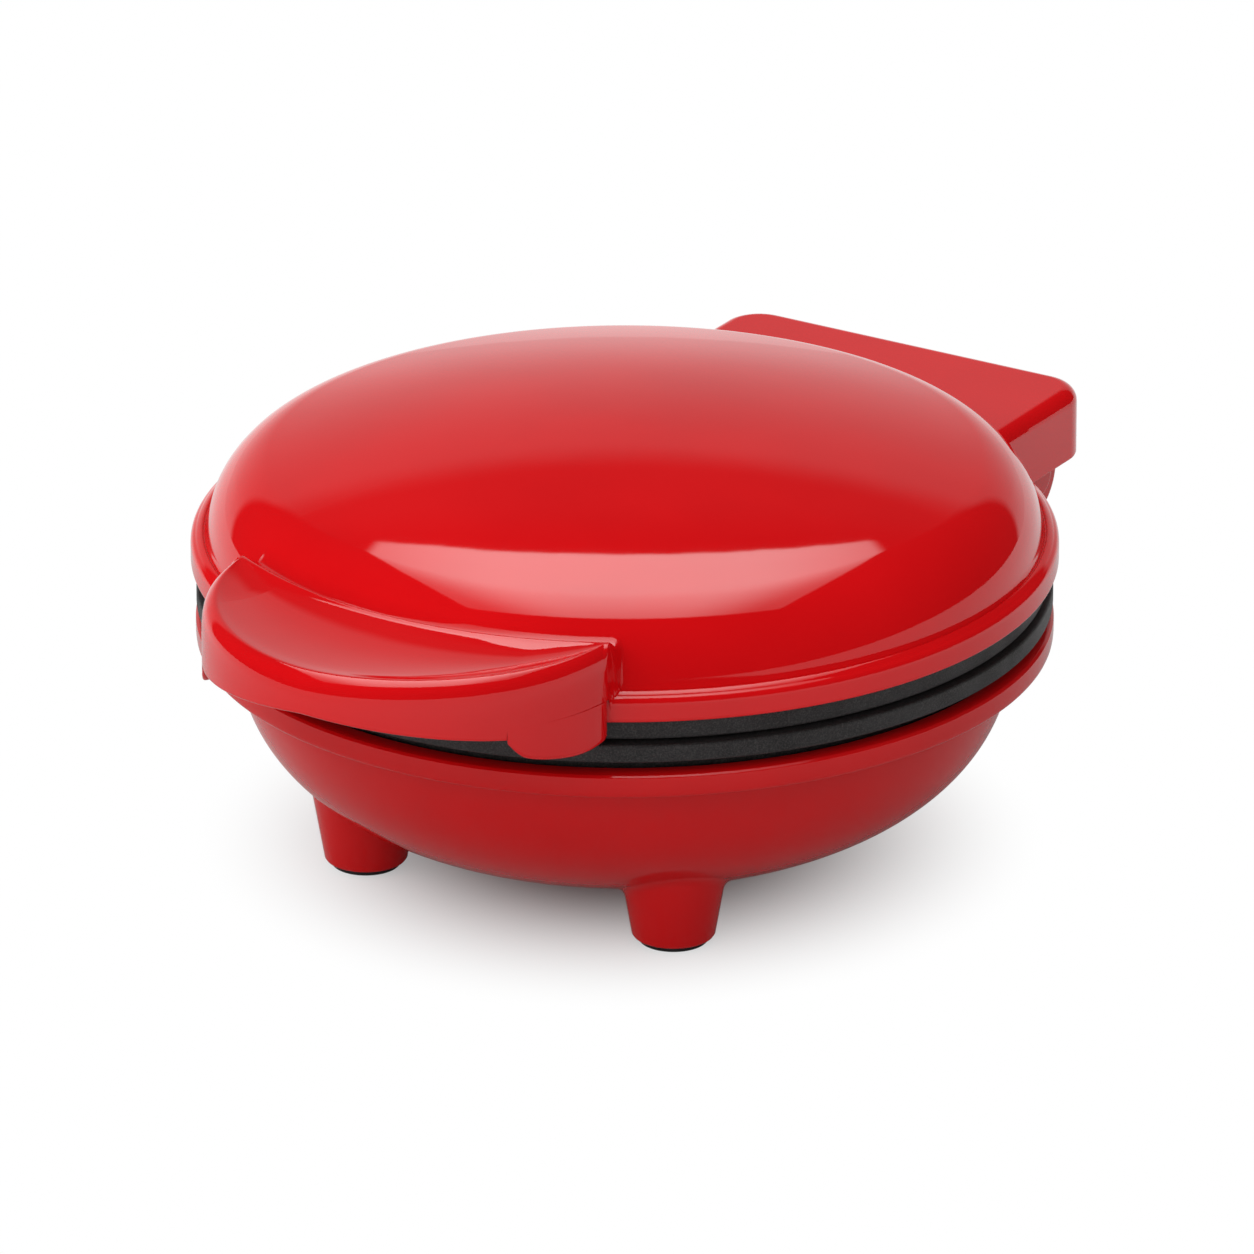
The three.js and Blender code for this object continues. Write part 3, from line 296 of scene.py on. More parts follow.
def swept(turns, section_at, whole=True, centre=(0, 0)):
    """A form round an upright line whose section, in radius and height, may change with direction.
    A turn of zero faces the handle. A form that isn't whole has closed sections and flat ends.
    A plain row of points is spun first, and then each point moves to its place in its own section."""
    mesh = bmesh.new()
    place = mesh.verts.layers.int.new("place")
    sections = [section_at(turn) for turn in turns]
    spokes = []
    for index in range(len(sections[0])):
        spoke = mesh.verts.new((0, -index - 1, 0))
        spoke[place] = index
        spokes.append(spoke)
    pairs = list(zip(spokes, spokes[1:]))
    if not whole:
        pairs.append((spokes[-1], spokes[0]))
    edges = [mesh.edges.new(pair) for pair in pairs]
    steps = len(turns) if whole else len(turns) - 1
    sweep = math.tau if whole else math.pi
    bmesh.ops.spin(mesh, geom=[*spokes, *edges], cent=(0, 0, 0), axis=(0, 0, 1), angle=sweep, steps=steps,
                   use_merge=whole)
    for vert in mesh.verts:
        station = round(math.atan2(vert.co.x, -vert.co.y) % math.tau / sweep * steps) % len(turns)
        radius, height = sections[station][vert[place]]
        turn = turns[station]
        vert.co = (centre[0] + radius * math.sin(turn), centre[1] - radius * math.cos(turn), height)
    if not whole:
        bmesh.ops.holes_fill(mesh, edges=boundary_of(mesh), sides=0)
    return cleaned(mesh)


def turned(profile, steps=96, centre=(0, 0)):
    """A form of one section, turned about an upright line."""
    return swept(all_round(steps), lambda turn: profile, True, centre)


def drum(radius, bottom, top, steps=96, centre=(0, 0)):
    return turned([(0, bottom), (radius, bottom), (radius, top), (0, top)], steps, centre)


def on_pin(mesh, left):
    """Lays an upright form along the hinge pin, its foot at one place across the cooker."""
    lay = Matrix.Translation((left, PIN_Y, PIN_Z)) @ Matrix.Rotation(math.pi / 2, 4, "Y")
    bmesh.ops.transform(mesh, matrix=lay, verts=mesh.verts)
    return mesh


def in_rear_wall(mesh):
    """Lays an upright form through the hinge block's rear wall, where the supply comes in."""
    lay = Matrix.Translation((0, BLOCK_REAR, GLAND_Z)) @ Matrix.Rotation(-math.pi / 2, 4, "X")
    bmesh.ops.transform(mesh, matrix=lay, verts=mesh.verts)
    return mesh


def block(low, high):
    mesh = bmesh.new()
    middle = [(a + b) / 2 for a, b in zip(low, high)]
    size = Matrix.Diagonal([b - a for a, b in zip(low, high)] + [1])
    bmesh.ops.create_cube(mesh, size=1, matrix=Matrix.Translation(middle) @ size)
    return mesh


def round_edges(mesh, chosen, offset, segments):
    """Rounds the edges whose two ends pass a test."""
    edges = [edge for edge in mesh.edges if chosen(*[vert.co for vert in edge.verts])]
    bmesh.ops.bevel(mesh, geom=edges, offset=offset, segments=segments, profile=0.5, affect="EDGES",
                    material=-1)


def drawn_along_x(outline, left, right):
    """A solid with one outline of [y, z] pairs from left to right."""
    mesh = bmesh.new()
    face = mesh.faces.new([mesh.verts.new((left, y, z)) for y, z in outline])
    far = corners_of(bmesh.ops.extrude_face_region(mesh, geom=[face])["geom"])
    bmesh.ops.translate(mesh, vec=(right - left, 0, 0), verts=far)
    bmesh.ops.recalc_face_normals(mesh, faces=mesh.faces)
    return mesh


def as_object(mesh, name="working"):
    data = bpy.data.meshes.new(name)
    mesh.to_mesh(data)
    mesh.free()
    made = bpy.data.objects.new(name, data)
    bpy.context.scene.collection.objects.link(made)
    return made


def combined(kind, first, *others):
    """The first form with the others joined to it, cut out of it or kept in common, as kind says."""
    body = as_object(first)
    tools = [as_object(other) for other in others]
    for tool in tools:
        step = body.modifiers.new(kind, "BOOLEAN")
        step.operation = kind
        step.solver = "MANIFOLD"
        step.object = tool
    bpy.context.view_layer.update()
    result = bmesh.new()
    result.from_object(body, bpy.context.evaluated_depsgraph_get())
    for spent in [body, *tools]:
        data = spent.data
        bpy.data.objects.remove(spent)
        bpy.data.meshes.remove(data)
    return result


def piece(name, mesh, body, slot, *nodes):
    """Puts a form in its place in the cooker, in metres, and lets it ride on its body for its CAD nodes."""
    to_metres = Matrix.Scale(0.001, 4) @ Matrix.Translation((0, MIDDLE_SHIFT, 0))
    bmesh.ops.transform(mesh, matrix=to_metres, verts=mesh.verts)
    for edge in mesh.edges:
        edge.smooth = not edge.is_manifold or edge.calc_face_angle(0) < CREASE
    for face in mesh.faces:
        face.smooth = True
    made = as_object(mesh, name)
    made.data.materials.append(finishes[slot])
    weighted = made.modifiers.new("weighted normals", "WEIGHTED_NORMAL")
    weighted.keep_sharp = True
    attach(made, body)
    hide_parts(*nodes)


# Finishes

class Shade:
    """A value in a material; reckoning with it adds the material's Math nodes."""

    def __init__(self, finish, socket):
        self.finish = finish
        self.socket = socket

    def reckon(self, operation, *values):
        """One Math node; all its values are given in order, this one too."""
        step = self.finish.node("ShaderNodeMath", {"operation": operation}, *values)
        return Shade(self.finish, step.outputs[0])

    def __add__(self, other):
        return self.reckon("ADD", self, other)

    def __radd__(self, other):
        return self.reckon("ADD", other, self)

    def __sub__(self, other):
        return self.reckon("SUBTRACT", self, other)

    def __rsub__(self, other):
        return self.reckon("SUBTRACT", other, self)

    def __mul__(self, other):
        return self.reckon("MULTIPLY", self, other)

    def __rmul__(self, other):
        return self.reckon("MULTIPLY", other, self)

    def __truediv__(self, other):
        return self.reckon("DIVIDE", self, other)

    def most(self, other):
        return self.reckon("MAXIMUM", self, other)

    def risen(self, start, end):
        """0 up to start, 1 from end on, and a smooth rise between."""
        settings = {"interpolation_type": "SMOOTHSTEP"}
        step = self.finish.node("ShaderNodeMapRange", settings, self, start, end, 0.0, 1.0)
        return Shade(self.finish, step.outputs[0])


class Finish:
    """The node tree of a material or of the world."""

    def __init__(self, owner):
        owner.use_nodes = True
        self.owner = owner
        self.tree = owner.node_tree
        self.tree.nodes.clear()

    def node(self, kind, settings=None, *values, **named):
        """A node with its settings and the values of its sockets, in their order or by name."""
        made = self.tree.nodes.new(kind)
        for setting, value in (settings or {}).items():
            setattr(made, setting, value)
        by_name = [(made.inputs[name.replace("_", " ")], value) for name, value in named.items()]
        for socket, value in [*zip(made.inputs, values), *by_name]:
            if isinstance(value, Shade):
                self.tree.links.new(value.socket, socket)
            else:
                socket.default_value = value
        return made

    def shade(self, kind, output, settings=None, *values, **named):
        return Shade(self, self.node(kind, settings, *values, **named).outputs[output])

    def place(self):
        """Where a point lies in the cooker, in metres."""
        return self.shade("ShaderNodeTexCoord", "Object")

    def grain(self, scale, detail, roughness=0.5, at=None):
        """Soft noise from 0 to 1 with about this many grains to the metre."""
        return self.shade("ShaderNodeTexNoise", 0, None, at or self.place(), Scale=scale, Detail=detail,
                          Roughness=roughness)

    def tint(self, share, start, end):
        """A colour between two others."""
        blend = self.node("ShaderNodeMix", {"data_type": "RGBA"}, share)
        blend.inputs[6].default_value = (*start, 1)
        blend.inputs[7].default_value = (*end, 1)
        return Shade(self, blend.outputs[2])

    def bumped(self, height, distance, strength):
        return self.shade("ShaderNodeBump", 0, None, strength, distance, Height=height)

    def ended(self, output, shader):
        """Ends the tree in its output node and gives back the material or the world."""
        self.node(output, None, shader)
        return self.owner

    def surface(self, **sockets):
        body = self.shade("ShaderNodeBsdfPrincipled", 0, None, **sockets)
        return self.ended("ShaderNodeOutputMaterial", body)


def finish(name):
    return Finish(bpy.data.materials.new(name))


def red_moulding(name, deep, bright, polish, index):
    """Glossy red plastic: a clear-looking skin with the faint unevenness of a moulding."""
    look = finish(name)
    cloud = look.grain(28, 3).risen(0.3, 0.7)
    ripple = look.grain(90, 1)
    dust = look.grain(2600, 3, 0.6)
    return look.surface(
        Base_Color=look.tint(cloud, deep, bright),
        Roughness=polish + 0.03 * dust.risen(0.5, 0.85),
        Normal=look.bumped(ripple, 0.00012, 0.12),
        IOR=index,
    )


def non_stick_coat():
    """Dark grey sprayed coat on a casting, with a fine grain that catches the light."""
    look = finish("non_stick_coat")
    speck = look.grain(3900, 4, 0.75)
    cast = look.grain(900, 3)
    wear = look.grain(60, 4, 0.6).risen(0.4, 0.75)
    return look.surface(
        Base_Color=look.tint(speck.risen(0.42, 0.68), (0.010, 0.009, 0.009), (0.056, 0.049, 0.049)),
        Roughness=0.42 + 0.2 * wear + 0.12 * speck,
        Metallic=0.15,
        Normal=look.bumped(0.65 * speck + 0.35 * cast, 0.00025, 0.75),
    )


def metal(name, dull, bright, scratches, roughness):
    """Worked metal, cloudy in tone, with fine marks drawn out along it."""
    look = finish(name)
    stretched = look.shade("ShaderNodeMapping", 0, None, look.place(), Scale=(1, scratches, 1))
    drag = look.grain(700, 4, 0.65, stretched)
    cloud = look.grain(70, 3).risen(0.3, 0.7)
    return look.surface(
        Base_Color=look.tint(cloud, dull, bright),
        Roughness=roughness + 0.18 * drag,
        Metallic=1.0,
        Normal=look.bumped(drag, 0.00008, 0.3),
    )


def soft_black():
    """Rubber with a dull bloom."""
    look = finish("soft_black")
    bloom = look.grain(240, 4, 0.6)
    return look.surface(
        Base_Color=look.tint(bloom.risen(0.35, 0.75), (0.010, 0.009, 0.009), (0.028, 0.026, 0.026)),
        Roughness=0.68 + 0.2 * bloom,
        Normal=look.bumped(look.grain(3200, 3), 0.00012, 0.4),
    )


def pale_ceramic():
    """Off-white ceramic with a slightly uneven glaze."""
    look = finish("pale_ceramic")
    cloud = look.grain(150, 4, 0.6)
    return look.surface(
        Base_Color=look.tint(cloud, (0.6, 0.55, 0.46), (0.76, 0.72, 0.64)),
        Roughness=0.4 + 0.25 * cloud,
        Normal=look.bumped(look.grain(1800, 3), 0.0001, 0.3),
    )


def woven_sleeve():
    """Glass sleeving: two sets of fine ribs that cross along the lead."""
    look = finish("woven_sleeve")

    def ribs(direction, scale):
        settings = {"wave_type": "BANDS", "bands_direction": direction}
        return look.shade("ShaderNodeTexWave", 1, settings, look.place(), Scale=scale)

    weave = ribs("DIAGONAL", 420).most(ribs("Y", 380))
    return look.surface(
        Base_Color=look.tint(weave, (0.42, 0.39, 0.33), (0.68, 0.65, 0.58)),
        Roughness=0.85,
        Normal=look.bumped(weave, 0.0002, 0.6),
    )


finishes = {
    "lid_plastic": red_moulding("lid_red", (0.65, 0.0032, 0.0052), (0.71, 0.004, 0.0062), 0.03, 1.42),
    "base_plastic": red_moulding("base_red", (0.54, 0.0034, 0.0046), (0.60, 0.0044, 0.006), 0.08, 1.36),
    "non_stick": non_stick_coat(),
    "zinc_steel": metal("zinc_plate", (0.38, 0.39, 0.37), (0.52, 0.53, 0.50), 6, 0.3),
    "bright_steel": metal("rolled_steel", (0.5, 0.51, 0.52), (0.62, 0.63, 0.64), 14, 0.18),
    "heater_sheath": metal("heat_darkened_steel", (0.10, 0.09, 0.085), (0.2, 0.185, 0.17), 3, 0.42),
    "black_rubber": soft_black(),
    "ceramic": pale_ceramic(),
    "lead_sleeve": woven_sleeve(),
}
for subpart in frame["record"]["subparts"]:
    node = frame["nodes"][subpart["node"]]
    node.data.materials.clear()
    node.data.materials.append(finishes[subpart["material_slot"]])


# Lid

UPPER_DOME = [
    *arc(0, CROWN_LEVEL, CROWN_RADIUS, 0, CROWN_ANGLE, 14),
    *arc(SHOULDER_CENTRE, SHOULDER_LEVEL, SHOULDER_RADIUS, CROWN_ANGLE, FLARE_ANGLE, 8)[1:],
]
# The bead's section: how far in from the rim and how far down from the bead's top
BEAD_PROFILE = [(1.9, 0.05), (1.6, 0.09), (1.03, 0.39), (0.8, 0.63), (0.31, 0.89), (0, 1.45)]
# The band under the bead is cut into steps, so that the plain side has as many corners as the handle's side.
BAND_STEPS = 4
PLAIN_SIDE = [
    *arc(SHOULDER_CENTRE, SHOULDER_LEVEL, SHOULDER_RADIUS, FLARE_ANGLE, SHOULDER_END, 5)[1:],
    (DOME_RADIUS, DOME_BASE),
    (DOME_RADIUS + GROOVE_DEPTH, BEAD_TOP - GROOVE_DEPTH),
    *[(RIM_RADIUS - across, BEAD_TOP - down) for across, down in BEAD_PROFILE],
    *[(RIM_RADIUS, mix(BEAD_TOP - BEAD_PROFILE[-1][1], LID_BOTTOM, (step + 1) / BAND_STEPS))
      for step in range(BAND_STEPS)],
]
# How widely each corner of the plain side and of the handle's side is rounded
PLAIN_ROUNDS = [WIDE] * 5 + [0.3, 0.15] + [WIDE] * 6 + [0.1] * 3 + [0.5]
HANDLE_ROUNDS = [
    WIDE, 1.3, 0.8, 0.6, 0.8, WIDE, WIDE, WIDE, 0.6, WIDE, WIDE,
    0.5, 0.3, 0.3, 0.3, 0.2, 0.4,
]
# At the handle's ends each corner fades out like the ridge line (0), like the wall (1) or in between.
END_ORDER = [0, 0, 0, 0, 0.05, 0.1, 0.15, 0.2, 0.4, 0.6, 0.8] + [1] * 6
SEAM_CORNER = 11
SEAM_ROUND = 0.12
SEAM_GAP = 0.06
MOUTH_RADIUS = RIM_RADIUS - 1.4
THROAT_RADIUS = MOUTH_RADIUS - 2.6
LID_CHAMBER = [
    (MOUTH_RADIUS, LID_BOTTOM),
    (MOUTH_RADIUS, LID_LEDGE),
    (THROAT_RADIUS, LID_LEDGE),
    (SIDE_TOP_RADIUS - WALL, SIDE_TOP),
    *arc(SHOULDER_CENTRE, SHOULDER_LEVEL, SHOULDER_RADIUS - WALL, SHOULDER_END, CROWN_ANGLE, 6)[1:],
    *arc(0, CROWN_LEVEL, CROWN_RADIUS - WALL, CROWN_ANGLE, 0, 4)[1:],
]
CHAMBER_ROUNDS = [0.3, 0.2, 0.3] + [WIDE] * (len(LID_CHAMBER) - 4)
# The dish in the handle's top: shares of its width and of its depth
DISH_CURVE = [(0.2, 0.85), (0.5, 1), (0.85, 0.5)]


def handle_reach(turn, inset=0.0):
    """How far the handle's outline lies from the cooker's axis in one direction."""
    def inside(reach):
        across = abs(reach * math.sin(turn)) / (HANDLE_HALF_WIDTH - inset)
        outward = max(0, reach * math.cos(turn) - HANDLE_SET_BACK) / (HANDLE_PROJECTION - inset)
        return across ** HANDLE_ROUND + outward ** HANDLE_ROUND < 1

    return last_where(inside, RIM_RADIUS / 2, HANDLE_SET_BACK + HANDLE_PROJECTION + HANDLE_HALF_WIDTH)


def half_width_at(turn):
    """How far to the side the handle's outline lies in one direction."""
    return handle_reach(turn) * math.sin(abs(turn))


TONGUE_START = last_where(lambda turn: half_width_at(turn) < TONGUE_START_X, 0.0, HANDLE_TIP)
TONGUE_END = HANDLE_TIP * HANDLE_FULL


def wall_bottom(turn):
    """The handle's wall ends below in an arch, and above the tongue's seam beyond it."""
    if abs(turn) >= TONGUE_START:
        return PARTING_LEVEL
    share = half_width_at(turn) / TONGUE_START_X
    return LID_BOTTOM + mix(NOSE_RISE, ARCH_END_RISE, share ** ARCH_CURVE)


def seam_open(turn):
    """How plainly the seam shows: hardly at all along the tongue's first third, fully at its outer end."""
    share = (abs(turn) - TONGUE_START) / (TONGUE_END - TONGUE_START)
    return 0.02 + 0.98 * smooth(share * 1.5 - 0.5)


def handle_side(turn):
    """The lid's side at the handle: flare, valley, ridge line, dish, rounded edge, wall and hollow."""
    share = abs(turn) / HANDLE_TIP
    reach = handle_reach(turn)
    hollow = max(0.0, min(1.0, (HOLLOW_END - share) / HOLLOW_EASE))
    solid_inner = mix(reach, RIM_RADIUS, 1 / 3)
    wall_inner = mix(solid_inner, handle_reach(turn, HANDLE_WALL), hollow) if hollow > 0 else solid_inner
    ridge_start = RIDGE_LINE_RADIUS + RIDGE_CREST
    dish_end = max(reach - HANDLE_EDGE, ridge_start + LEAST_DISH)
    dip = min(1, (dish_end - ridge_start) / DISH_WIDTH) * DISHED_DEPTH
    edge = max(reach, ridge_start + LEAST_EDGE)
    bottom = wall_bottom(turn)
    ceiling = mix(bottom, CAVITY_TOP, hollow)
    return [
        arc(SHOULDER_CENTRE, SHOULDER_LEVEL, SHOULDER_RADIUS, VALLEY_ANGLE, VALLEY_ANGLE, 1)[0],
        (VALLEY_RADIUS, RIDGE_LINE - VALLEY_DEPTH),
        (RIDGE_LINE_RADIUS - RIDGE_CREST, RIDGE_LINE - RIDGE_CREST / 2),
        (RIDGE_LINE_RADIUS, RIDGE_LINE),
        (ridge_start, RIDGE_LINE - min(RIDGE_CREST, dip) / 2),
        *[(mix(ridge_start, dish_end, across), RIDGE_LINE - dip * down) for across, down in DISH_CURVE],
        (dish_end, RIDGE_LINE),
        (mix(dish_end, edge, 0.7), RIDGE_LINE - HANDLE_EDGE * 0.3),
        (edge, RIDGE_LINE - HANDLE_EDGE),
        (reach, bottom),
        (wall_inner, bottom),
        (mix(mix(wall_inner, RIM_RADIUS, 0.5), wall_inner, hollow), ceiling),
        (RIM_RADIUS, ceiling),
        (RIM_RADIUS, BAND_TOP - GAP / 2),
        (RIM_RADIUS, LID_BOTTOM),
    ]


def lid_section(turn):
    """The lid's whole section in one direction: dome, side, then the chamber back up to the middle."""
    turn = turn - math.tau if turn > math.pi else turn
    share = abs(turn) / HANDLE_TIP
    side, rounds = PLAIN_SIDE, PLAIN_ROUNDS
    if share < RIDGE_END:
        handled = []
        for order in END_ORDER:
            end, full = mix(RIDGE_END, WALL_END, order), mix(RIDGE_FULL, HANDLE_FULL, order)
            handled.append(smooth((end - share) / (end - full)))
        side = [(mix(plain[0], formed[0], part), mix(plain[1], formed[1], part))
                for plain, formed, part in zip(PLAIN_SIDE, handle_side(turn), handled)]
        rounds = [mix(plain, formed, part)
                  for plain, formed, part in zip(PLAIN_ROUNDS, HANDLE_ROUNDS, handled)]
        if abs(turn) >= TONGUE_START:
            rounds[SEAM_CORNER] = SEAM_ROUND * seam_open(turn)
    lower = softened([UPPER_DOME[-1], *side, *LID_CHAMBER], [*rounds, *CHAMBER_ROUNDS])
    return [*UPPER_DOME[:-1], *lower]


# The sections lie closest together over this share of the handle's half angle, either side of its end.
END_ZONE = 0.07
# The handle's arch steps down to the tongue within one narrow turn, and other sections keep clear of it.
STEP_TURN = 0.0012
STEP_ROOM = 0.004


def lid_turns():
    """Directions for the lid's sections, close together at the handle's ends and where a tongue starts."""
    start, end = (1 - END_ZONE) * HANDLE_TIP, (1 + END_ZONE) * HANDLE_TIP
    half = evenly(0, start, 40)[:-1] + evenly(start, end, 70)[:-1] + evenly(end, math.pi, 120)[:-1]
    step_turns = [TONGUE_START - STEP_TURN, TONGUE_START]
    half = [turn for turn in half if all(abs(turn - edge) > STEP_ROOM for edge in step_turns)]
    half = sorted(half + step_turns)
    return [*half, math.pi, *[math.tau - turn for turn in reversed(half[1:])]]


def hinge_box():
    """The lid's rear box: soft corners, open underneath and cut to the lid's round."""
    outer = block((-BOX_HALF_WIDTH, BLOCK_FRONT, BOX_BOTTOM), (BOX_HALF_WIDTH, BOX_REAR, BOX_TOP))
    inner = block((WALL - BOX_HALF_WIDTH, BLOCK_FRONT, BOX_BOTTOM - OVERRUN),
                  (BOX_HALF_WIDTH - WALL, BOX_REAR - WALL, BOX_TOP - WALL))

    def rear_upright(a, b):
        return min(a.y, b.y) > BOX_REAR - WALL - 1 and abs(a.x - b.x) < 1

    def off_front(a, b):
        return max(a.y, b.y) > BLOCK_FRONT + 1

    round_edges(outer, rear_upright, BOX_CORNER, 12)
    round_edges(outer, lambda a, b: min(a.z, b.z) > BOX_TOP - 0.1 and off_front(a, b), BOX_EDGE, 6)
    round_edges(outer, lambda a, b: max(a.z, b.z) < BOX_BOTTOM + 0.1 and off_front(a, b), BOX_LOWER_EDGE, 2)
    round_edges(inner, rear_upright, BOX_CORNER - WALL, 8)
    lid_space = drum(THROAT_RADIUS + BOX_LAP, LID_BOTTOM, BOX_TOP + OVERRUN)
    plate_space = drum(RIM_RADIUS, BOX_BOTTOM - OVERRUN, LID_BOTTOM + GAP)
    return combined("DIFFERENCE", outer, inner, lid_space, plate_space)


def lid():
    """The lid's shell with its handle, hinge box and screw bosses."""
    bosses = [drum(BOSS_RADIUS, BRACKET_TOP + GAP, BOX_TOP - 1, 32, (side * BRACKET_SCREW_X, BRACKET_SCREW_Y))
              for side in BOTH_WAYS]
    bosses += [drum(BOSS_RADIUS, COVER_TOP + GAP, CAVITY_TOP + 1, 32, (side * HANDLE_SCREW_X, HANDLE_SCREW_Y))
               for side in BOTH_WAYS]
    whole = combined("UNION", swept(lid_turns(), lid_section), hinge_box(), *bosses)
    piece("lid", whole, "lid", "lid_plastic", "lid_shell")


# A tongue's lower edge: shares of its width and of its height, and how its outer end is trimmed round
TONGUE_CURVE = [(0, 0.65), (0.17, 0.33), (0.31, 0.22), (0.67, 0.06), (0.9, 0), (1, 0.1)]
TONGUE_LINE = softened(TONGUE_CURVE, [WIDE] * 4, 4)
TONGUE_ROUND = 0.6
TONGUE_TRIM = 0.3


def tongue_rise(share):
    """How high the tongue's lower edge is at one share of its width."""
    for (start, low), (end, high) in zip(TONGUE_LINE, TONGUE_LINE[1:]):
        if share <= end:
            return mix(low, high, (share - start) / max(end - start, 1e-6))
    return TONGUE_LINE[-1][1]


def handle_cover():
    """The handle's lower cover: a recessed crescent with a stem and a tongue at each end."""
    back = RIM_RADIUS + GAP
    cover_end = HANDLE_TIP * COVER_SHARE

    def box_section(turn, bottom, top):
        reach = max(handle_reach(turn, COVER_INSET), back + GAP)
        return [(back, bottom), (reach, bottom), (reach, top), (back, top)]

    def sheet_section(turn):
        return softened(box_section(turn, COVER_BOTTOM, COVER_TOP), [0.3] * 4, 2, True)

    def stem_section(turn):
        return box_section(turn, PARTING_LEVEL - STEM_DEPTH, COVER_TOP - 0.1)

    def tongue_section(turn):
        reach = handle_reach(turn)
        share = (half_width_at(turn) - TONGUE_START_X) / TONGUE_WIDTH
        near_end = max(0.0, 1 - (TONGUE_END - abs(turn)) * RIM_RADIUS / TONGUE_ROUND)
        trim = near_end ** 2 * TONGUE_TRIM
        top = PARTING_LEVEL - SEAM_GAP * seam_open(turn)
        bottom = mix(TONGUE_BOTTOM, top, tongue_rise(max(0.0, share))) + trim
        corners = [(back, bottom), (reach - trim, bottom), (reach - trim, top), (back, top)]
        return softened(corners, [0.3, 1.0, SEAM_ROUND * seam_open(turn), 0.2], 4, True)

    forms = [swept(evenly(-cover_end, cover_end, 90), sheet_section, False)]
    for side in BOTH_WAYS:
        start = side * TONGUE_START
        forms.append(swept(evenly(start, side * cover_end, 8), stem_section, False))
        forms.append(swept(evenly(start, side * TONGUE_END, 40), tongue_section, False))
    bores = [drum(SCREW_BORE, TONGUE_BOTTOM, COVER_TOP + OVERRUN, 32, (side * HANDLE_SCREW_X, HANDLE_SCREW_Y))
             for side in BOTH_WAYS]
    whole = combined("DIFFERENCE", combined("UNION", *forms), *bores)
    piece("handle_cover", whole, "lid", "lid_plastic", "handle_lower_cover")


# Base

def bowl_side(inset):
    """The bowl's side from the floor's edge up to the top, smaller all round by the inset."""
    points = []
    for step in range(BOWL_STEPS + 1):
        angle = math.pi / 2 * (1 - step / BOWL_STEPS)
        across = max(0.0, math.cos(angle)) ** BOWL_SPREAD_CURVE
        down = math.sin(angle) ** BOWL_RISE_CURVE
        spread = (BOWL_TOP_RADIUS - inset - BOWL_FLOOR_RADIUS) * across
        points.append((BOWL_FLOOR_RADIUS + spread, BOWL_TOP - (BOWL_DEPTH - inset) * down))
    return points


def bowl_level(radius):
    """How high the bowl's underside is at one distance from the axis."""
    share = (radius - BOWL_FLOOR_RADIUS) / (BOWL_TOP_RADIUS - BOWL_FLOOR_RADIUS)
    if share <= 0:
        return BOWL_UNDERSIDE
    angle = math.acos(min(1.0, share) ** (1 / BOWL_SPREAD_CURVE))
    return BOWL_TOP - BOWL_DEPTH * math.sin(angle) ** BOWL_RISE_CURVE


def bowl_body():
    """The bowl and its rim as a solid."""
    *side, last, top = bowl_side(0)
    rim = softened([
        last,
        top,
        *[(BASE_RIM_RADIUS - across, BOWL_TOP + up) for across, up in RIM_UNDERSIDE],
        *[(BASE_RIM_RADIUS - across, LIP_TOP - down) for across, down in LIP_EDGE],
        (LIP_INNER - OVERRUN, LIP_TOP),
    ], [0.7, WIDE, WIDE, WIDE, WIDE, 0.08, 0.08, WIDE, WIDE])
    return turned([(0, BOWL_UNDERSIDE), *side, *rim, (0, LIP_TOP)], FINE_STEPS)


def bowl_chamber():
    """The space cut out of the bowl, with the ledge under the lip and the lip's inner chamfer."""
    above = LIP_TOP + OVERRUN
    lip = softened([
        (BOWL_TOP_RADIUS - WALL, LEDGE_TOP),
        (LIP_INNER, LEDGE_TOP),
        (LIP_INNER, LIP_TOP - LIP_CHAMFER),
        (LIP_INNER + LIP_CHAMFER, LIP_TOP),
        (LIP_INNER + LIP_CHAMFER, above),
    ], [0.2, 0.2, 0.1])
    return turned([(0, BOWL_UNDERSIDE + WALL), *bowl_side(WALL), *lip, (0, above)], LARGE_STEPS)


def foot(x, y):
    """A tapered foot that runs into the bowl in a soft fillet."""
    def section(turn):
        way = Vector((math.sin(turn), -math.cos(turn)))

        def radius_at(level):
            return SOLE_RADIUS + (level - SOLE_LEVEL) * FOOT_TAPER

        def bowl_over(radius):
            return bowl_level((Vector((x, y)) + radius * way).length)

        level = last_where(lambda level: level < bowl_over(radius_at(level)), SOLE_LEVEL, BOWL_TOP)
        radius = radius_at(level)
        meet = Vector((radius, level))
        below = Vector((radius - FOOT_FILLET * FOOT_TAPER, level - FOOT_FILLET))
        beyond = Vector((radius + FOOT_FILLET, bowl_over(radius + FOOT_FILLET) + 0.05))
        fillet = [below.lerp(meet, share).lerp(meet.lerp(beyond, share), share) for share in evenly(0, 1, 10)]
        sole = [
            (0, SOLE_LEVEL),
            (SOLE_RADIUS - SOLE_EDGE, SOLE_LEVEL),
            (SOLE_RADIUS - SOLE_CHAMFER, SOLE_LEVEL + SOLE_CHAMFER),
            (SOLE_RADIUS + SOLE_EDGE * FOOT_TAPER, SOLE_LEVEL + SOLE_EDGE),
        ]
        return [*sole, *fillet, (beyond.x, beyond.y + FOOT_ROOT), (0, BOWL_TOP / 2 + 3)]

    return swept(all_round(96), section, True, (x, y))


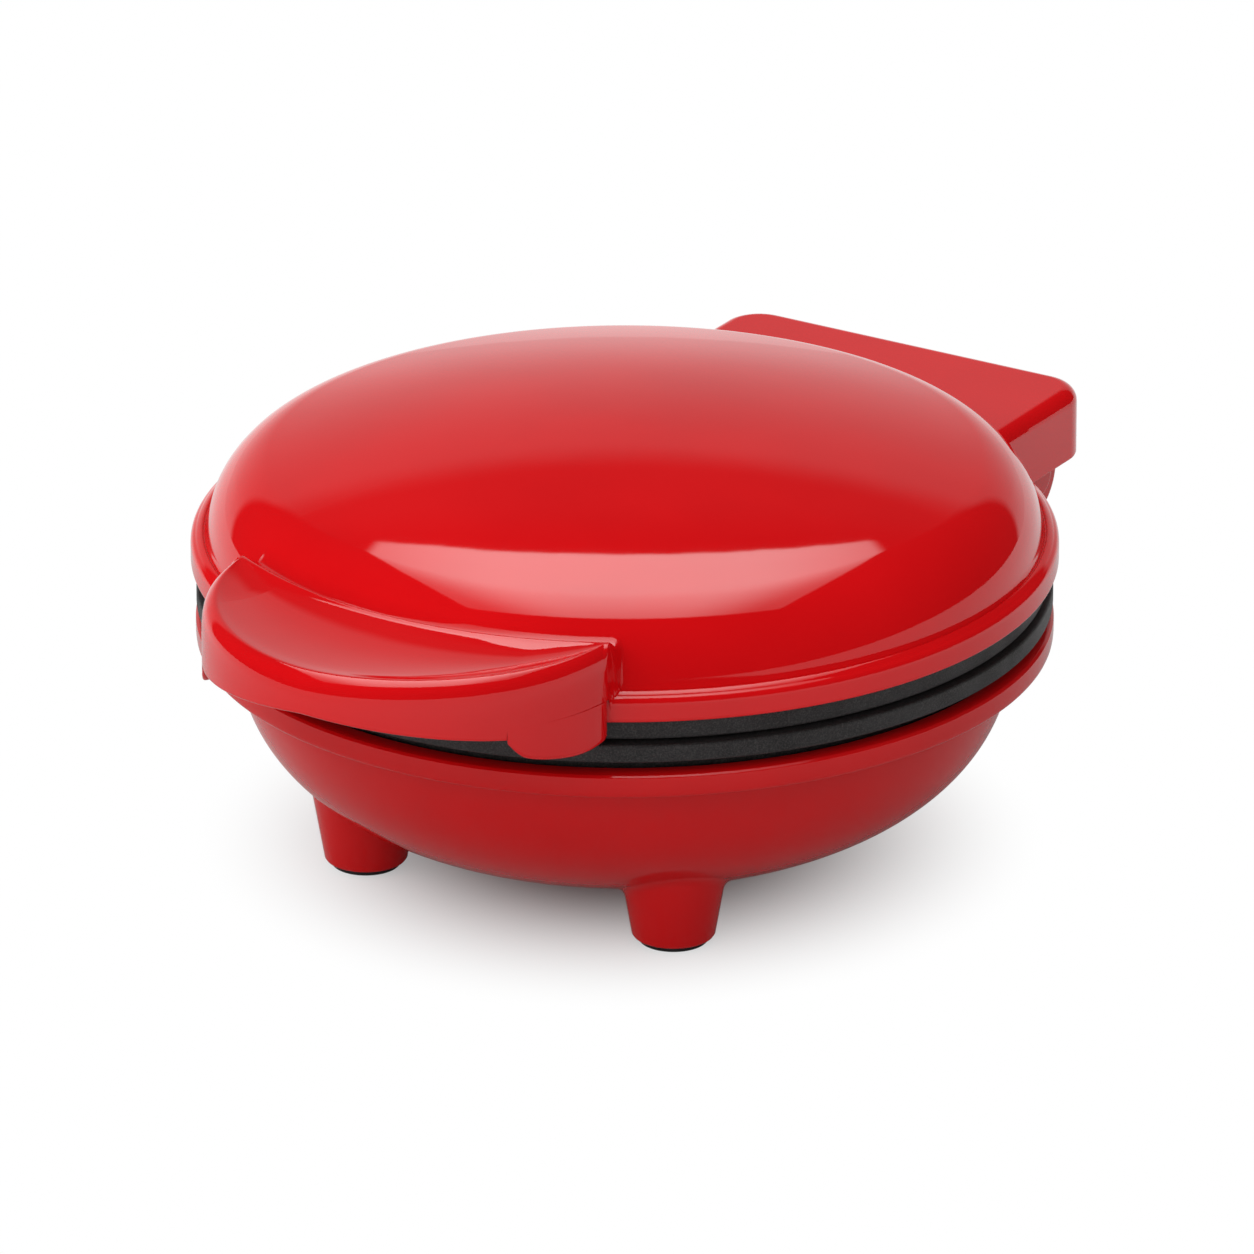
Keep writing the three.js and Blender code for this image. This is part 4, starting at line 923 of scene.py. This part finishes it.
def hinge_block():
    """The base's hinge block with its barrel round the pin."""
    barrel_bottom = PIN_Z - BARREL_RADIUS
    outline = softened([
        (BLOCK_FRONT, LIP_TOP),
        (BLOCK_FRONT, BLOCK_FLOOR),
        (BLOCK_REAR, BLOCK_FLOOR),
        (BLOCK_REAR, barrel_bottom - 2),
        (BLOCK_REAR + 2, barrel_bottom),
        (PIN_Y, barrel_bottom),
        (PIN_Y, LIP_TOP),
    ], [0.1, 1.6, 1.5, 1.5, 0.1])
    web = drawn_along_x([tuple(point) for point in outline], -BLOCK_HALF_WIDTH, BLOCK_HALF_WIDTH)

    def lower_end_edge(a, b):
        return abs(a.x - b.x) < 0.1 and min(a.y, b.y) > BLOCK_FRONT and max(a.z, b.z) < LIP_TOP - 0.1

    round_edges(web, lower_end_edge, 0.7, 3)
    half, radius = BLOCK_HALF_WIDTH, BARREL_RADIUS
    ends = softened([(0, -half), (radius, -half), (radius, half), (0, half)], [0.7, 0.7], 4)
    barrel = on_pin(turned(ends, 96), 0)
    return combined("UNION", web, barrel)


def base():
    """The bowl with its hinge block, feet and posts, hollowed and bored."""
    feet_places = [(side * FOOT_X, end * FOOT_Y) for side in BOTH_WAYS for end in BOTH_WAYS]
    body = combined("UNION", bowl_body(), hinge_block(), *[foot(x, y) for x, y in feet_places])
    body = combined("DIFFERENCE", body, bowl_chamber())
    post = [
        (0, POST_FOOT), (POST_RADIUS, POST_FOOT), (POST_RADIUS, POST_SHOULDER),
        (POST_TIP_RADIUS, POST_SHOULDER), (POST_TIP_RADIUS, POST_TOP), (0, POST_TOP),
    ]
    body = combined("UNION", body, *[turned(post, 48, place) for place in SCREW_PLACES])
    inside = BLOCK_HALF_WIDTH - WALL
    cutters = [block((-inside, BLOCK_FRONT - OVERRUN, BLOCK_FLOOR + WALL),
                     (inside, BLOCK_REAR - WALL, BOWL_TOP))]
    cutters += [drum(PAD_RADIUS + GAP, -OVERRUN, PAD_RECESS, 64, place) for place in feet_places]
    bore_top = POST_TOP + OVERRUN
    bore = [
        (0, 0), (SCREW_WELL, 0), (SCREW_WELL, SCREW_SEAT),
        (SCREW_BORE, SCREW_SEAT), (SCREW_BORE, bore_top), (0, bore_top),
    ]
    cutters += [turned(bore, 48, place) for place in SCREW_PLACES]
    for side in BOTH_WAYS:
        near = side * (LUG_INSET - GAP)
        far = side * (LUG_INSET + LUG_WIDTH + GAP)
        cutters.append(on_pin(drum(BARREL_RADIUS + LUG_ROOM, 0, abs(far - near), 64), min(near, far)))
    bore_length = (BLOCK_HALF_WIDTH + OVERRUN) * 2
    cutters.append(on_pin(drum(PIN_RADIUS + GAP, 0, bore_length, 48), -bore_length / 2))
    cutters.append(in_rear_wall(drum(GLAND_BODY + GAP, -WALL - OVERRUN, OVERRUN, 48)))
    piece("base", combined("DIFFERENCE", body, *cutters), "base", "base_plastic", "base_shell")


# Plates

def waffle_ridges():
    """Crossed ridges with sloping sides, cut to the dish's round; heights are up from the dish's floor."""
    pitch = DISH_RADIUS * 2 / (RIDGE_COUNT + 1)
    half_top, half_foot = RIDGE_TOP / 2, RIDGE_FOOT / 2
    slope = softened([
        (half_foot + RIDGE_FLARE, 0), (half_foot, 0), (half_top, RIDGE_HEIGHT), (0, RIDGE_HEIGHT),
    ], [0.9, 0.7], 3)
    middles = [(index - (RIDGE_COUNT - 1) / 2) * pitch for index in range(RIDGE_COUNT)]
    lines = {round(middle + way * point.x, 4) for middle in middles for point in slope for way in BOTH_WAYS}
    edge = DISH_RADIUS + 2
    lines = [-edge, *[line for line in sorted(lines) if abs(line) < edge], edge]

    def height(place):
        across = min(abs(place - middle) for middle in middles)
        for (outer, low), (inner, high) in zip(slope, slope[1:]):
            if across >= inner:
                return mix(low, high, (across - outer) / min(inner - outer, -1e-6)) if across < outer else 0.0
        return RIDGE_HEIGHT

    mesh = bmesh.new()
    count = len(lines)
    bmesh.ops.create_grid(mesh, x_segments=count - 1, y_segments=count - 1, size=1)
    rises = [height(line) for line in lines]
    for vert in mesh.verts:
        column, row = (round((co + 1) / 2 * (count - 1)) for co in (vert.co.x, vert.co.y))
        vert.co = (lines[column], lines[row], max(rises[column], rises[row]))
    skirt = corners_of(bmesh.ops.extrude_edge_only(mesh, edges=boundary_of(mesh))["geom"])
    for vert in skirt:
        vert.co.z = -1
    bmesh.ops.holes_fill(mesh, edges=boundary_of(mesh), sides=0)
    bmesh.ops.recalc_face_normals(mesh, faces=mesh.faces)
    dish = drum(DISH_RADIUS - RIDGE_INSET, -RIDGE_ROOT, RIDGE_HEIGHT + OVERRUN, LARGE_STEPS)
    return combined("INTERSECT", mesh, dish)


def plate(name, node, body, face, way, flange, flange_depth, skirt, skirt_depth, boss_depth):
    """A cooking plate. Depths are from its cooking face, and way is 1 where they go up and -1 where down."""
    web = DISH_RADIUS + PLATE_THICKNESS / 2 + DISH_DRAFT
    back = DISH_DEPTH + PLATE_THICKNESS
    profile = softened([
        (0, DISH_DEPTH),
        (DISH_RADIUS - DISH_DRAFT, DISH_DEPTH),
        (DISH_RADIUS, 0),
        (flange, 0),
        (flange, flange_depth),
        (skirt, flange_depth),
        (skirt, skirt_depth),
        (skirt - SKIRT_WIDTH, skirt_depth),
        (skirt - SKIRT_WIDTH, FLANGE_BACK),
        (web, FLANGE_BACK),
        (web - DISH_DRAFT, back),
        (0, back),
    ], [1.6, 0.7, 0.5, 0.4, 0.2, 0.3, 0.3, 0.1, 0.6, 0.8], 4)
    form = turned([(radius, face + way * depth) for radius, depth in profile], FINE_STEPS)
    ridges = waffle_ridges()
    lift = Matrix.Translation((0, 0, face + way * DISH_DEPTH)) @ Matrix.Diagonal((1, 1, -way, 1))
    bmesh.ops.transform(ridges, matrix=lift, verts=ridges.verts)
    bmesh.ops.recalc_face_normals(ridges, faces=ridges.faces)

    def rod(radius, root_depth, end_depth, steps, place):
        bottom, top = sorted((face + way * root_depth, face + way * end_depth))
        return drum(radius, bottom, top, steps, place)

    bosses = [rod(BOSS_RADIUS, back - 1, boss_depth, 32, place) for place in SCREW_PLACES]
    bores = [rod(SCREW_BORE, back - 1.3, boss_depth + OVERRUN, 24, place) for place in SCREW_PLACES]
    whole = combined("DIFFERENCE", combined("UNION", form, ridges, *bosses), *bores)
    piece(name, whole, body, "non_stick", node)


# Small pieces that show

def foot_pads():
    pad_top = PAD_RECESS - GAP
    profile = softened([(0, 0), (PAD_RADIUS, 0), (PAD_RADIUS, pad_top), (0, pad_top)], [0.4, 0.2])
    for end, y in (("front", -FOOT_Y), ("rear", FOOT_Y)):
        for side, x in (("left", -FOOT_X), ("right", FOOT_X)):
            pad = turned(profile, 64, (x, y))
            piece(f"pad_{end}_{side}", pad, "base", "black_rubber", f"foot_pad_{end}_{side}")


def pin_caps():
    corners = [(0, 0), (CAP_RADIUS, 0), (CAP_RADIUS, CAP_THICKNESS), (0, CAP_THICKNESS)]
    profile = softened(corners, [0.15, 0.6], 4)
    for side, way in (("left", -1), ("right", 1)):
        cap = turned([(radius, way * height) for radius, height in profile], 64)
        lying = on_pin(cap, way * (BLOCK_HALF_WIDTH + GAP))
        piece(f"cap_{side}", lying, "base", "base_plastic", f"pin_cap_{side}")


def gland():
    """The supply's grommet: two flanges held in the block's rear wall."""
    outside, inside = GAP, -WALL - GAP
    profile = softened([
        (GLAND_BORE, outside + GLAND_FLANGE),
        (GLAND_RIM, outside + GLAND_FLANGE),
        (GLAND_RIM, outside),
        (GLAND_BODY, outside),
        (GLAND_BODY, inside),
        (GLAND_RIM, inside),
        (GLAND_RIM, inside - GLAND_FLANGE),
        (GLAND_BORE, inside - GLAND_FLANGE),
    ], [0.4, 0.7, 0.1, 0.3, 0.3, 0.1, 0.4, 0.4], 3, True)
    grommet = in_rear_wall(turned([*profile, profile[0]], 72))
    piece("grommet", grommet, "base", "black_rubber", "cord_gland")


lid()
handle_cover()
base()
plate("lower_waffle_plate", "lower_plate", "base", face=LOWER_FACE, way=-1, flange=LOWER_FLANGE,
      flange_depth=3.1, skirt=LIP_INNER - 0.6, skirt_depth=7.5, boss_depth=12.5)
plate("upper_waffle_plate", "upper_plate", "lid", face=UPPER_FACE, way=1, flange=UPPER_FLANGE,
      flange_depth=5.3, skirt=UPPER_FLANGE - 3, skirt_depth=3.6, boss_depth=15.6)
foot_pads()
pin_caps()
gland()


# Camera and studio

VIEW_TURN = math.radians(31.5)
VIEW_TILT = math.radians(22.6)
VIEW_DISTANCE = 2.24
VIEW_CENTRE = Vector((0, 0.00185, 0.036))
VIEW_SHIFT = 0.00035
# The lens's focal length and the photograph's width, in its pixels
FOCAL_PIXELS = 13856
PHOTO_PIXELS = 1254
# The floor reaches this far from the middle, in metres, and lies this little under the feet.
FLOOR_REACH = 6
FLOOR_DROP = 0.0001
WHITE = (1, 1, 1, 1)
PALE_PAINT = (0.62, 0.62, 0.62, 1)
# The softbox, on a plane at a height of one over the cooker: half its width at the middle, how it narrows
# towards the back, and how its front and rear edges bow
SOFTBOX_HALF_WIDTH = 0.47
SOFTBOX_TAPER = 0.14
SOFTBOX_FRONT_BOW = 0.3
SOFTBOX_REAR_BOW = 2.7
# How strongly the softbox, the wall and the rest of the room show in the cooker's reflections
SOFTBOX_LIGHT = 3.5
WALL_LIGHT = 0.8
ROOM_LIGHT = 0.04
# The soft light that falls on the cooker: evenly, from the softbox, from the left and from the front
EVEN_LIGHT = 0.38
SOFTBOX_SPILL = 0.22
LEFT_LIGHT = 1.0
FRONT_LIGHT = 0.33


def camera():
    right = Vector((math.cos(VIEW_TURN), math.sin(VIEW_TURN), 0))
    back = Vector((math.sin(VIEW_TURN) * math.cos(VIEW_TILT), -math.cos(VIEW_TURN) * math.cos(VIEW_TILT),
                   math.sin(VIEW_TILT)))
    lens = bpy.data.cameras.new("camera")
    lens.lens = FOCAL_PIXELS / PHOTO_PIXELS * lens.sensor_width
    lens.clip_start, lens.clip_end = 0.1, 30
    eye = bpy.data.objects.new("camera", lens)
    bpy.context.scene.collection.objects.link(eye)
    upward = back.cross(right)
    turn = Matrix((right, upward, back)).transposed()
    place = VIEW_CENTRE + right * VIEW_SHIFT + back * VIEW_DISTANCE
    eye.matrix_world = Matrix.Translation(place) @ turn.to_4x4()
    bpy.context.scene.camera = eye


def floor():
    """A pale ground that takes the shadow near the cooker and turns to plain white further out, nearer in for
    the camera than in the cooker's reflections."""
    mesh = bmesh.new()
    bmesh.ops.create_grid(mesh, x_segments=1, y_segments=1, size=FLOOR_REACH)
    bmesh.ops.translate(mesh, vec=(0, 0, -FLOOR_DROP), verts=mesh.verts)
    ground = as_object(mesh, "floor")
    look = finish("pale_floor")
    paint = look.shade("ShaderNodeBsdfDiffuse", 0, None, PALE_PAINT)
    glow = look.shade("ShaderNodeEmission", 0, None, WHITE, 1.0)
    reach = look.shade("ShaderNodeVectorMath", 1, {"operation": "LENGTH"}, look.place())
    seen = look.shade("ShaderNodeLightPath", "Is Camera Ray") * reach.risen(0.015, 0.07)
    for ray in ("Is Glossy Ray", "Is Transmission Ray"):
        seen = seen.most(look.shade("ShaderNodeLightPath", ray) * reach.risen(0.11, 0.26))
    shown = look.shade("ShaderNodeMixShader", 0, None, seen, paint, glow)
    ground.data.materials.append(look.ended("ShaderNodeOutputMaterial", shown))


def studio():
    """What the cooker mirrors is a softbox over and behind it and a pale wall; what lights it is an even soft
    light, stronger from the left and the front. The camera itself sees white."""
    world = bpy.data.worlds.new("studio")
    bpy.context.scene.world = world
    room = Finish(world)
    split = room.node("ShaderNodeSeparateXYZ", None, room.shade("ShaderNodeTexCoord", "Generated"))
    x, y, up = (Shade(room, socket) for socket in split.outputs)
    side = x * math.cos(VIEW_TURN) + y * math.sin(VIEW_TURN)
    beside = side.reckon("ABSOLUTE", side)
    behind = y * math.cos(VIEW_TURN) - x * math.sin(VIEW_TURN)

    # The softbox lies on a level plane overhead: across and along are places on it, seen from the cooker.
    height = up.most(0.001)
    across, along = beside / height, behind / height
    bow = across * across
    side_edge = (SOFTBOX_HALF_WIDTH - SOFTBOX_TAPER * along - across).risen(-0.012, 0.012)
    front_edge = (along - SOFTBOX_FRONT_BOW * bow).risen(-0.2, -0.13)
    rear_edge = 1 - (along - SOFTBOX_REAR_BOW * bow).risen(1.0, 1.015)
    box = side_edge * front_edge * rear_edge * up.risen(0.1, 0.2)
    brightness = SOFTBOX_LIGHT + 1.3 * along.risen(-0.2, 0.3) - 0.8 * along.risen(0.6, 1.1)
    box_light = box * brightness * (1 - 0.72 * across.risen(0.12, 0.42))

    # The wall stands behind the cooker, narrower and darker the higher it goes.
    level = beside * beside + behind * behind
    facing = behind / level.reckon("SQRT", level)
    wall = (facing - 0.42 * up.most(0.0)).risen(0.70, 0.75)
    wall_level = WALL_LIGHT - 0.14 * up.risen(0, 0.2)
    wall_light = wall_level * wall * (1 - 0.5 * up.risen(0, 0.46)) * (1 - 0.85 * up.risen(0.45, 0.53))
    studio_light = ROOM_LIGHT + wall_light + box_light

    from_left = 1 - side.risen(-1.0, 0.5)
    from_front = 1 - behind.risen(-0.7, 0.2)
    soft_light = EVEN_LIGHT + SOFTBOX_SPILL * box_light + LEFT_LIGHT * from_left + FRONT_LIGHT * from_front

    seen = room.shade("ShaderNodeLightPath", "Is Camera Ray")
    glossy = room.shade("ShaderNodeLightPath", "Is Glossy Ray")
    mirrored = glossy.most(room.shade("ShaderNodeLightPath", "Is Transmission Ray"))
    light = soft_light + mirrored * (studio_light - soft_light)
    glow = room.shade("ShaderNodeBackground", 0, None, WHITE, light + seen * (1 - light))
    room.ended("ShaderNodeOutputWorld", glow)


camera()
floor()
studio()
bpy.context.scene.view_settings.view_transform = "Standard"
